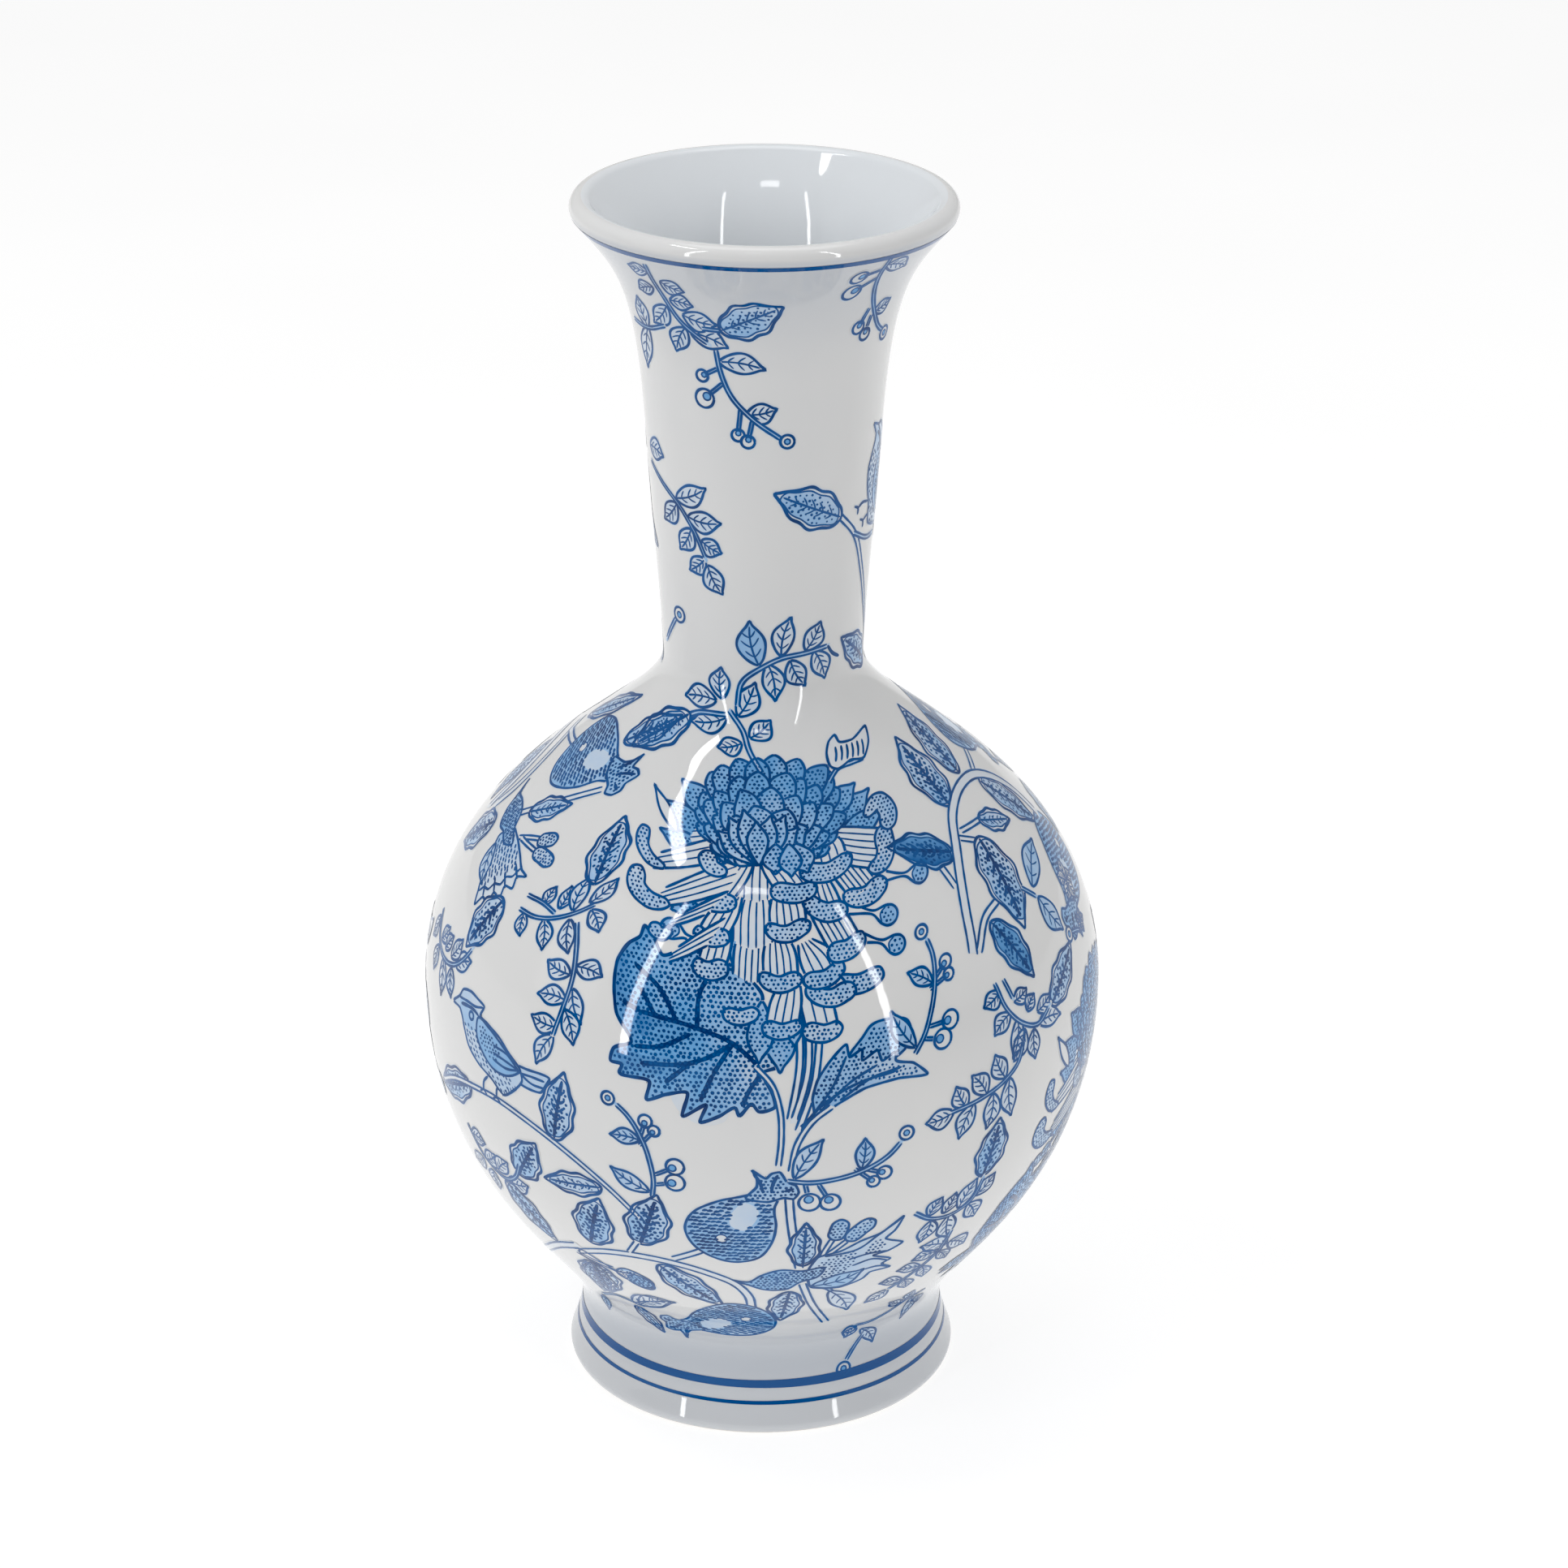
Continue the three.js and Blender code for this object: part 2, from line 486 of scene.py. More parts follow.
def build_body(porcelain, bare):
    """The foot ring with its bare rim, the floor, the walls and the rolled lip."""
    heel_turn = rounded_edge(HEEL_CENTRE, HEEL_RADIUS, -90, HEEL_ANGLE, 24)
    glaze_row = int(np.argmax(heel_turn[0][:, 1] > BARE_HEIGHT))
    bare_heel = tuple(part[:glaze_row + 1] for part in heel_turn)
    glazed_heel = tuple(part[glaze_row:] for part in heel_turn)
    foot = foot_curve(14, 0, FLOOR_SPLIT)
    recess_top = np.array([RECESS_RADIUS, foot[0][-1][1]])
    ground_edge = np.array([FOOT_INNER_RADIUS, 0.0])
    glaze_line = bare_heel[0][-1]
    share = glaze_line[1] / recess_top[1]
    inner_glaze_line = ground_edge + share * (recess_top - ground_edge)

    ring = turned("foot_ring_glazed", [
        glazed_heel,
        foot,
        straight(foot[0][-1], recess_top),
        straight(recess_top, inner_glaze_line, 6),
        straight(inner_glaze_line, glaze_line),
    ], porcelain)
    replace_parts(ring, "foot_ring")
    rim = turned("foot_ring_bare_rim", [
        straight(ground_edge, bare_heel[0][0], 4),
        bare_heel,
        straight(glaze_line, inner_glaze_line),
        straight(inner_glaze_line, ground_edge),
    ], bare)
    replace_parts(rim, "foot_ring")

    floor_outer = foot_curve(10, FLOOR_SPLIT, 1)
    floor_bottom, floor_top = floor_outer[0][0], floor_outer[0][-1]
    slab = turned("base_floor_slab", [
        straight([0, floor_bottom[1]], floor_bottom, 12),
        floor_outer,
        straight(floor_top, [0, floor_top[1]], 12),
    ], porcelain)
    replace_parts(slab, "base_floor")

    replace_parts(wall_section("lower_body_wall", lower_body_curve, 100, 50, porcelain), "lower_body")
    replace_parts(wall_section("shoulder_wall", shoulder_curve, 110, 60, porcelain), "shoulder")
    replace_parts(wall_section("neck_wall", neck_curve, 50, 30, porcelain), "neck")
    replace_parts(wall_section("mouth_wall", mouth_curve, 60, 60, porcelain, 2 * LIP_RADIUS), "flared_mouth")
    lip_turn = rounded_edge(LIP_CENTRE, LIP_RADIUS, LIP_ANGLE, LIP_ANGLE + 180, 36)
    lip = turned("lip_roll_bead", [lip_turn, straight(lip_turn[0][-1], lip_turn[0][0])], porcelain)
    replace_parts(lip, "lip_roll")


# ---- brush work ------------------------------------------------------------------------------------

FINE = 0.55                    # widths of the painted lines
LINE = 0.90
BOLD = 1.15
HEAVIEST = 1.3 * BOLD
DOT = 0.47                     # radius of a stippled dot
DOT_GAP = 1.55
DOT_WEIGHT = 0.3               # how dark a dot is, where 0 is a thin line and 1 a bold one
STROKE_STEP = 0.6
FILL_GAP = 2.2
TAPER = 1.4                    # length over which a stroke thins out at its ends
WAVER = 0.12                   # how much the hand varies a stroke's width


def smooth(points, closed=False, roundness=1.0):
    """A curve through the points; with less roundness the corners get sharper."""
    points = np.asarray(points, float)
    if closed:
        before, after = points[-1:], points[:2]
    else:
        before, after = 2 * points[:1] - points[1:2], 2 * points[-1:] - points[-2:-1]
    ring = np.vstack([before, points, after])
    gaps = np.linalg.norm(np.diff(ring, axis=0), axis=1)[:, None]
    slopes = np.diff(ring, axis=0) / gaps
    tangents = (slopes[:-1] * gaps[1:] + slopes[1:] * gaps[:-1]) / (gaps[:-1] + gaps[1:]) * roundness
    curve = []
    for i in range(len(tangents) - 1):
        start, end, gap = ring[i + 1], ring[i + 2], gaps[i + 1]
        steps = max(1, round(float(gap[0]) / STROKE_STEP))
        t = np.linspace(0, 1, steps, endpoint=False)[:, None]
        curve.append((2 * t ** 3 - 3 * t * t + 1) * start + (3 * t * t - 2 * t ** 3) * end
                     + (t ** 3 - 2 * t * t + t) * gap * tangents[i]
                     + (t ** 3 - t * t) * gap * tangents[i + 1])
    if not closed:
        curve.append(points[-1:])
    return np.vstack(curve)


def left_of(curve):
    """The direction to the left of a curve, at each of its points."""
    heading = np.gradient(curve, axis=0)
    heading /= np.maximum(np.linalg.norm(heading, axis=1), 1e-9)[:, None]
    return np.stack([-heading[:, 1], heading[:, 0]], 1)


def rotated(vector, degrees):
    c, s = math.cos(math.radians(degrees)), math.sin(math.radians(degrees))
    return np.array([c * vector[0] - s * vector[1], s * vector[0] + c * vector[1]])


def is_inside(points, outline):
    """Which of the points lie inside an outline."""
    start, end = outline, np.roll(outline, -1, axis=0)
    x, y = points[:, :1], points[:, 1:]
    crosses = (start[:, 1] > y) != (end[:, 1] > y)
    rise = end[:, 1] - start[:, 1]
    rise = np.where(rise == 0, 1e-9, rise)
    crossing_x = start[:, 0] + (y - start[:, 1]) * (end[:, 0] - start[:, 0]) / rise
    return (crosses & (x < crossing_x)).sum(1) % 2 == 1


def boxes_meet(a, b):
    return bool(np.all(a.min(0) <= b.max(0)) and np.all(b.min(0) <= a.max(0)))


def spread(outline, gap, margin=0.0, jitter=0.0):
    """Evenly scattered points inside an outline, at least the margin away from it."""
    (left, bottom), (right, top) = outline.min(0), outline.max(0)
    rows = np.arange(bottom, top, gap * 0.87)
    x, y = np.meshgrid(np.arange(left, right, gap), rows)
    x = x + gap / 2 * (np.arange(len(rows)) % 2)[:, None]
    points = np.stack([x.ravel(), y.ravel()], 1)
    points += rng.uniform(-jitter, jitter, points.shape) * gap
    points = points[is_inside(points, outline)]
    if margin and len(points):
        reach = np.linalg.norm(points[:, None] - outline[None], axis=2).min(1)
        points = points[reach > margin]
    return points


class Drawing:
    """Brush work in flat millimetres, x to the viewer's right and y up; later marks lie in front."""

    def __init__(self):
        self.marks = []

    def cover(self, outline):
        """Hide the lines and dots that a shape in front lies over."""
        self.marks.append(("cover", outline, None))

    def wash(self, outline, tone, far_tone=None, towards=0.0):
        """Thin blue over a shape; with a far tone it changes across the shape, in the given direction."""
        along_it = np.array([math.cos(math.radians(towards)), math.sin(math.radians(towards))])
        reach = (outline - outline.mean(0)) @ along_it
        ends = outline.mean(0) + np.outer([reach.min(), reach.max()], along_it)
        tones = (tone, tone if far_tone is None else far_tone)
        self.marks.append(("wash", np.vstack([outline, ends]), tones))

    def stroke(self, points, width=LINE, closed=False, roundness=1.0, bleed=True):
        curve = smooth(points, closed, roundness)
        if closed:
            curve = np.vstack([curve, curve[:1]])
        length = lengths_along(curve)
        to_end = np.minimum(length, length[-1] - length)
        thickness = np.ones(len(curve)) if closed else np.clip(0.45 + to_end / TAPER, 0, 1)
        fast_wave = WAVER * np.sin(length * 0.9 + rng.uniform(0, 6))
        slow_wave = np.sin(length * 0.37 + rng.uniform(0, 6))
        waver = 1 + fast_wave * slow_wave
        self.marks.append(("stroke", curve, (width * thickness * waver, bleed)))

    def strokes(self, paths, width=LINE):
        """Strokes on top of a washed shape, whose blue doesn't spread."""
        for path in paths:
            self.stroke(path, width, bleed=False)

    def dots(self, outline, gap=DOT_GAP, radius=DOT, margin=0.7):
        centres = spread(outline, gap, margin, 0.16)
        if len(centres):
            self.marks.append(("dots", centres, radius * rng.uniform(0.8, 1.2, len(centres))))

    def shape(self, points, tone, width=LINE, roundness=1.0, far_tone=None, towards=0.0):
        """An outlined, washed shape in front of what is there already. Returns its outline."""
        outline = smooth(points, True, roundness)
        self.cover(outline)
        self.wash(outline, tone, far_tone, towards)
        self.stroke(points, width, True, roundness)
        return outline

    def add(self, other, at=(0, 0), turn=0.0, size=1.0):
        """Copy another drawing into this one."""
        for kind, points, extra in other.marks:
            self.marks.append((kind, moved(points, at, turn, size), extra))

    def visible(self):
        """The marks that are left once each cover has hidden what lies behind it."""
        marks = []
        for kind, points, extra in self.marks:
            if kind != "cover":
                marks.append((kind, points, extra))
                continue
            kept = []
            for mark in marks:
                if mark[0] == "wash" or not boxes_meet(mark[1], points):
                    kept.append(mark)
                else:
                    kept.extend(uncovered(mark, points))
            marks = kept
        return marks


def moved(points, at, turn, size):
    c, s = math.cos(math.radians(turn)), math.sin(math.radians(turn))
    return (points * size) @ np.array([[c, s], [-s, c]]) + np.asarray(at, float)


def uncovered(mark, outline):
    """What is left of a stroke or a group of dots outside an outline that covers it."""
    kind, points, extra = mark
    shown = ~is_inside(points, outline)
    if shown.all():
        return [mark]
    if kind == "dots":
        return [(kind, points[shown], extra[shown])] if shown.any() else []
    widths, bleed = extra
    pieces = []
    for run in np.split(np.arange(len(points)), np.flatnonzero(np.diff(shown.astype(int))) + 1):
        if shown[run[0]] and len(run) > 1:
            pieces.append((kind, points[run], (widths[run], bleed)))
    return pieces


class Coat:
    """A layer of paint that becomes one object."""

    def __init__(self):
        self.points, self.directions, self.tones = [], [], []
        self.faces = {3: [], 4: []}
        self.count = 0

    def add(self, place, points, lift, tones, faces):
        positions, directions = place(points.reshape(-1, 2), lift)
        self.points.append(positions)
        self.directions.append(directions)
        self.tones.append(np.broadcast_to(tones, len(positions)))
        self.faces[faces.shape[1]].append(faces + self.count)
        self.count += len(positions)

    def ribbon(self, place, points, widths, across, lift, tones):
        """A strip along a stroke; across has its lines of points and tones how strong each is."""
        rows = points[:, None] + left_of(points)[:, None] * np.outer(widths, across)[:, :, None]
        index = np.arange(rows.shape[0] * rows.shape[1]).reshape(rows.shape[:2])
        corners = [index[:-1, :-1], index[1:, :-1], index[1:, 1:], index[:-1, 1:]]
        tones = np.tile(tones, len(points))
        self.add(place, rows, lift, tones, np.stack(corners, -1).reshape(-1, 4))

    def build(self, name, material):
        points, directions = np.vstack(self.points), np.vstack(self.directions)
        faces = stacked(self.faces)
        corner_directions = [directions[group] for group in faces]
        make_object(name, points, faces, corner_directions, material,
                    np.concatenate(self.tones))


def arrange(outlines):
    """One flat net of triangles over overlapping outlines, and the last outline over each triangle."""
    corners, loops = [], []
    for outline in outlines:
        start, end = outline, np.roll(outline, -1, axis=0)
        area = np.sum(start[:, 0] * end[:, 1] - end[:, 0] * start[:, 1])
        loop = list(range(len(corners), len(corners) + len(outline)))
        loops.append(loop if area > 0 else loop[::-1])
        corners.extend(Vector(p) for p in outline)
    everything = np.vstack(outlines)
    (left, bottom), (right, top) = everything.min(0), everything.max(0)
    grid = spread(np.array([(left, bottom), (right, bottom), (right, top), (left, top)]), FILL_GAP)
    used = np.zeros(len(grid), bool)
    for outline in outlines:
        used |= is_inside(grid, outline)
    corners.extend(Vector(p) for p in grid[used])
    vertices, _, faces, _, _, owners = delaunay_2d_cdt(corners, [], loops, 0, 1e-4)
    shown = [(face, max(owner)) for face, owner in zip(faces, owners) if owner]
    triangles, tops = (np.array(part) for part in zip(*shown))
    return np.array([tuple(v) for v in vertices]), triangles, tops


class Painting:
    """The drawings of one part of the pattern, wrapped onto the wall."""

    def __init__(self, name):
        self.name = name
        self.lines, self.washes = Coat(), Coat()

    def apply(self, drawing, azimuth, height, extra_lift):
        """Wrap a drawing round a point of the wall; azimuth in degrees, 0 towards the camera."""
        middle = surface.arc_at(height)

        def place(points, lift):
            arc = middle + points[:, 1]
            angle = math.radians(azimuth) + points[:, 0] / surface.radius_at(arc)
            return surface.place(angle, arc, lift + extra_lift)

        washes = []
        for kind, points, extra in drawing.visible():
            if kind == "stroke":
                self.paint_stroke(place, points, *extra)
            elif kind == "dots":
                self.paint_dots(place, points, extra)
            else:
                washes.append((points[:-2:2], points[-2:], extra))
        self.paint_washes(place, washes)

    def paint_stroke(self, place, points, widths, bleed):
        weight = np.clip((widths.max() - LINE) / (HEAVIEST - LINE), 0, 1)
        self.lines.ribbon(place, points, widths, [-0.5, 0.5], LINE_LIFT, [weight, weight])
        if bleed:
            spread_width = np.maximum(widths, 0.2) + 2 * BLEED
            lift = HALO_LIFT + rng.uniform(-HALO_SCATTER, HALO_SCATTER)
            self.washes.ribbon(place, points, spread_width, [-0.5, 0, 0.5], lift, [0, HALO_TONE, 0])

    def paint_dots(self, place, centres, radii):
        angle = np.radians(np.arange(0, 360, 60))
        rim = np.stack([np.cos(angle), np.sin(angle)], 1)
        rims = centres[:, None] + rim * radii[:, None, None]
        first = 6 * np.arange(len(centres))[:, None]
        fans = [first + np.array([0, i, i + 1]) for i in (1, 2, 3, 4)]
        self.lines.add(place, rims, LINE_LIFT, DOT_WEIGHT, np.vstack(fans))

    def paint_washes(self, place, washes):
        outlines, ends, tones = zip(*washes)
        vertices, triangles, tops = arrange(outlines)
        start, end = np.array(ends)[tops].transpose(1, 0, 2)
        near, far = np.array(tones)[tops].T
        corners = vertices[triangles]
        run = end - start
        share = np.einsum("tcx,tx->tc", corners - start[:, None], run)
        share /= np.sum(run * run, axis=1)[:, None]
        tone = near[:, None] + (far - near)[:, None] * np.clip(share, 0, 1)
        own_corners = np.arange(3 * len(triangles)).reshape(-1, 3)
        self.washes.add(place, corners, WASH_LIFT, tone.ravel(), own_corners)

    def build(self, line_paint, wash_paint):
        self.lines.build(self.name + "_lines", line_paint)
        self.washes.build(self.name + "_washes", wash_paint)


# ---- motifs ----------------------------------------------------------------------------------------

EDGE_WAVES = 3.2               # along each side of a wavy leaf
EDGE_WAVE_DEPTH = 0.075        # as a share of the leaf's width
RIM_WIDTH = 1.4                # the pale rim round a stippled leaf
LEAF_DOT_GAP = 1.85
LEAF_DOT = 0.62
TICK_ANGLE = 50                # between a midrib and its side veins
PETAL_TONE = 0.05              # the thin blue of striped petals and stalks
CLUB_STALK = 1.6
KNOB_TONE = 0.36
SPRAY_TONE = 0.16
CURL_TONE = 0.26
BERRY_TONE = 0.04


def blade(base, tip, width, bend=0.0, wave=0.0, fullness=0.85, taper=0.75, start=0.0, end=1.0):
    """The edge of a leaf, up its left side and down its right.

    Bend is its bow to the left as a share of its length, wave is how far its edge goes in and out as a
    share of its width, and a leaf with less taper has a blunter tip.
    """
    base, tip = as_arrays(base, tip)
    run = tip - base
    left = np.array([-run[1], run[0]]) / np.linalg.norm(run)
    t = np.linspace(start, end, 19 if wave else 11)[:, None]
    spine = base + run * t + left * bend * np.linalg.norm(run) * 4 * t * (1 - t)
    half = width / 2 * np.sin(math.pi * t ** fullness) ** (0.65 + taper * t)
    ripple = 1 + wave * np.sin(2 * math.pi * EDGE_WAVES * t)
    ripple_back = 1 + wave * np.sin(2 * math.pi * EDGE_WAVES * t + 2)
    return np.vstack([spine + left * half * ripple, (spine - left * half * ripple_back)[-2:0:-1]])


def midrib(base, tip, bend, start):
    """The middle line of a leaf, which stops short of its tip."""
    base, tip = as_arrays(base, tip)
    run = tip - base
    left = np.array([-run[1], run[0]])
    t = np.linspace(start, 0.88, 5)[:, None]
    return base + run * t + left * bend * 4 * t * (1 - t)


def add_side_veins(drawing, rib, reach, count, width):
    """Short strokes that leave a midrib on both sides, slanting towards its end."""
    curve = smooth(rib)
    heading = unit(curve[-1] - curve[0])
    for i in range(count):
        at = curve[int((0.12 + 0.74 * (i + 0.5) / count) * (len(curve) - 1))]
        size = reach * (0.6 + 0.4 * math.sin(math.pi * (i + 0.7) / count))
        for side in (-TICK_ANGLE, TICK_ANGLE):
            out = rotated(heading, side)
            end = at + out * size + heading * 0.15 * size
            drawing.stroke([at, at + out * size * 0.55, end], width, bleed=False)


def stippled_leaf(drawing, base, tip, width, tone=0.25, boldness=1.0):
    """A leaf with a pale rim round a dotted middle, and a dark ragged midrib unless it is less bold."""
    drawing.shape(blade(base, tip, width, 0, EDGE_WAVE_DEPTH, taper=0.4), tone * 0.5, 1.15 * LINE)
    inner = smooth(blade(base, tip, width - 2 * RIM_WIDTH, 0, EDGE_WAVE_DEPTH, taper=0.4, start=0.07,
                         end=0.9), True)
    drawing.wash(inner, tone * 1.3, tone * 0.9, 60)
    drawing.stroke(inner[::3], FINE, True, bleed=False)
    dot = LEAF_DOT * min(1.0, width / 15) * (0.6 + 0.4 * boldness)
    drawing.dots(inner, LEAF_DOT_GAP, dot, 0.75)
    rib = midrib(base, tip, 0, 0.02)
    weight = BOLD * min(1.2, width / 12) * boldness
    drawing.stroke(rib, weight, bleed=False)
    add_side_veins(drawing, rib, width * 0.26, 5, 0.75 * weight)


def leaflet(drawing, base, tip, width, bend=0.0, tone=0.25):
    """A small pale leaf with a midrib and a few veins."""
    drawing.shape(blade(base, tip, width, bend, fullness=0.95), tone)
    rib = midrib(base, tip, bend, 0)
    drawing.stroke(rib, 1.2 * FINE, bleed=False)
    add_side_veins(drawing, rib, width * 0.42, 3, FINE)


def stem(drawing, points, gap):
    """Two lines side by side, with thin blue between them if they are close and light if they are not."""
    tone = 0.3 if gap < 1.5 else 0.1
    curve = smooth(points)
    side = left_of(curve) * gap / 2
    outline = np.vstack([curve + side, (curve - side)[::-1]])
    drawing.cover(outline)
    drawing.wash(outline, tone)
    drawing.stroke((curve + side)[::4], 0.85 * LINE)
    drawing.stroke((curve - side)[::4], 0.85 * LINE)


def arc_round(centre, radius, start, end, count):
    angle = np.radians(np.linspace(start, end, count))
    return np.asarray(centre, float) + radius * np.stack([np.cos(angle), np.sin(angle)], 1)


def circle(centre, radius, count=8):
    return arc_round(centre, radius, 0, 360, count + 1)[:-1]


def berry(drawing, centre, radius, root=None):
    """A round berry with a dark eye, on a double stalk if it has a root."""
    centre = np.asarray(centre, float)
    towards = np.zeros(2)
    if root is not None:
        root = np.asarray(root, float)
        towards = root - centre
        stem(drawing, [root, (root + centre) / 2, centre], 0.9)
    drawing.shape(circle(centre, radius), BERRY_TONE)
    eye = centre + 0.35 * radius * towards / max(np.linalg.norm(towards), 1)
    blob = circle(eye, 0.42 * radius)
    drawing.wash(smooth(blob, True), 0.55)
    drawing.stroke(blob, FINE, True, bleed=False)


def berries(drawing, rows):
    """Berries on stalks, given as rows of centre, radius and root."""
    for centre, radius, root in rows:
        berry(drawing, centre, radius, root)


def spray(drawing, path, size, pairs, width):
    """A stem with leaflets in pairs, like a fern."""
    curve = smooth(path)
    last = len(curve) - 1
    for i in reversed(range(pairs)):
        share = 0.15 + 0.78 * (i + 0.4) / pairs
        at = curve[int(share * last)]
        ahead = unit(curve[min(int(share * last) + 3, last)] - at)
        for side in (-1, 1):
            out = rotated(ahead, side * rng.uniform(48, 62))
            length = size * rng.uniform(0.85, 1.1)
            leaflet(drawing, at + out * 0.9, at + out * length, width, side * 0.08, SPRAY_TONE)
    heading = unit(curve[-1] - curve[-4])
    leaflet(drawing, curve[-1], curve[-1] + heading * size * 1.05, width, 0.05, SPRAY_TONE)
    stem(drawing, path, 1.0)


def club(drawing, root, tip, radius):
    """A stalk that swells into a dotted round end."""
    root, tip = as_arrays(root, tip)
    run = unit(tip - root)
    side = np.array([-run[1], run[0]])
    ahead = math.degrees(math.atan2(run[1], run[0]))
    neck = tip - run * radius * 1.5
    head = arc_round(tip, radius, ahead + 115, ahead - 115, 8)
    beside = side * CLUB_STALK / 2
    outline = np.vstack([[root + beside, neck + beside], head, [neck - beside, root - beside]])
    drawing.shape(outline, PETAL_TONE, roundness=0.9)
    knob = smooth(circle(tip, radius * 0.98, 9), True)
    drawing.wash(knob, KNOB_TONE)
    cuff = [tip + side * radius * 0.75 - run * radius * 0.5, tip - run * radius * 0.9,
            tip - side * radius * 0.75 - run * radius * 0.5]
    drawing.stroke(cuff, FINE, bleed=False)
    drawing.dots(knob)


def curl(drawing, path, width, lean=0.0):
    """The dotted end of a petal: a thick round-ended mark, thicker towards one end if it leans."""
    middle = smooth(path)
    along_it = np.linspace(-1, 1, len(middle))[:, None]
    half = width / 2 * np.sqrt(1.02 - along_it ** 4) * (1 + lean * along_it)
    side = left_of(middle) * half
    edge = np.vstack([middle + side, (middle - side)[::-1]])
    drawing.cover(edge)
    drawing.wash(edge, CURL_TONE)
    drawing.stroke(edge[::3], LINE, True, bleed=False)
    drawing.dots(edge, DOT_GAP * 0.95, DOT * 0.95, 0.6)


def petal(drawing, root, left_tip, right_tip, thickness, stripes, bow=0.0, root_share=0.42):
    """A striped petal between its root and its two tips, with a curl across its end."""
    root, left_tip, right_tip = as_arrays(root, left_tip, right_tip)
    across = right_tip - left_tip
    run = (left_tip + right_tip) / 2 - root
    length = np.linalg.norm(run)
    run /= length
    out = np.array([-run[1], run[0]]) * bow * length

    def edge_at(share):
        """A line down the petal; share is 0 at its left side and 1 at its right."""
        crown = 1 - (2 * share - 1) ** 2
        start = root + across * (share - 0.5) * root_share
        end = left_tip + across * share + run * abs(across[0] + across[1]) * 0.15 * crown
        return np.array([start, (start + end) / 2 + across * (share - 0.5) * 0.22 + out, end])

    sides = [smooth(edge_at(share)) for share in (0, 1)]
    outline = np.vstack([sides[0], [edge_at(0.5)[-1]], sides[1][::-1]])
    drawing.cover(outline)
    drawing.wash(outline, PETAL_TONE, 0.13, math.degrees(math.atan2(run[1], run[0])))
    for side in (0, 1):
        drawing.stroke(edge_at(side), LINE)
    drawing.strokes([edge_at(i / stripes) for i in range(1, stripes)], FINE)
    if thickness:
        reach = np.linalg.norm(across)
        tilt = rng.choice((-1, 1)) * rng.uniform(0.04, 0.16)
        end_path = [
            left_tip - across * 0.08 + run * reach * (tilt - 0.14),
            left_tip + across * 0.2 + run * reach * 0.1,
            (left_tip + right_tip) / 2 + run * reach * 0.18,
            right_tip - across * 0.18 + run * reach * 0.1,
            right_tip + across * 0.1 - run * reach * tilt,
        ]
        curl(drawing, end_path, thickness, -1.4 * tilt)


def dotted_petals(drawing, shapes, tone):
    """Pointed petals in front of each other; each shape is a root, a tip and a width."""
    for root, tip, width in shapes:
        edge = drawing.shape(blade(root, tip, width, fullness=1.15), tone)
        drawing.dots(edge, margin=0.75)


# Each striped petal: its root, its left and right tips, how thick its curl is and how many stripes.
LOW_PETALS = [
    ((12, 38), (13.5, 19), (23.5, 19.5), 5.4, 3), ((9, 36), (1, 20.5), (11, 20.5), 4.8, 4),
    ((12, 44), (16, 29), (27, 31), 5.4, 4), ((13, 46), (14, 34), (24, 38), 5.2, 4),
    ((-2, 54), (0.5, 34), (-9, 36), 0, 5), ((4, 50), (0.5, 34.5), (11, 35.5), 5.0, 5),
    ((-12, 54), (-20, 38), (-11, 38.5), 5.6, 4),
]
MIDDLE_PETALS = [
    ((-2, 66), (-9, 46), (3, 46), 0, 5),
    ((6, 64), (2.5, 49.5), (13.5, 52), 5.2, 5), ((-8, 61), (-20, 48.5), (-10.5, 48), 5.2, 4),
    ((14, 62), (21, 42), (30.5, 46), 6.0, 6), ((17, 68), (14.5, 57.5), (25, 55.5), 5.8, 5),
]
HIGH_PETALS = [
    ((-6, 82), (-22, 75), (-21, 83), 0, 4), ((-1, 76), (-8, 61), (4, 60.5), 0, 5),
    ((1, 74), (4, 62.5), (15.5, 63.5), 6.0, 5), ((-4, 76), (-21.5, 63), (-9.5, 58.5), 6.4, 6),
    ((18, 81), (27.5, 58), (38, 62.5), 6.2, 7), ((16, 80), (37, 66), (38.5, 79), 6.2, 6),
    ((16, 82), (13, 68.5), (26.5, 71.5), 6.2, 5),
]
# The petals that reach out to the left, which narrow towards their tips.
LEFT_PETALS = [
    ((-14, 49), (-29, 38), (-26, 43), 0, 3), ((-14, 58), (-29, 49), (-25, 53.5), 0, 3),
    ((-8, 68), (-33, 54.5), (-30.5, 61), 0, 4), ((-10, 77), (-35, 66.5), (-32.5, 72), 0, 3),
]
# Curls that aren't on a striped petal: their paths and how thick they are.
LOW_CURLS = [([(22, 33), (30, 31.5), (38, 34.5)], 5.8), ([(-12, 24.5), (-7, 23), (-1, 25)], 4.6)]
HIGH_CURLS = [
    ([(-29, 56), (-36, 56.5), (-40.5, 60.5), (-39.5, 66.5)], 5.6),
    ([(-31, 67.5), (-36, 69.5), (-39, 74), (-38, 80)], 4.0),
    ([(-28, 48), (-32, 46.5), (-35, 49)], 4.2),
    ([(-11, 68), (-16, 70), (-17.5, 75)], 5.2),
    ([(33, 84), (38, 88), (41.5, 84), (41, 78)], 6.0),
]
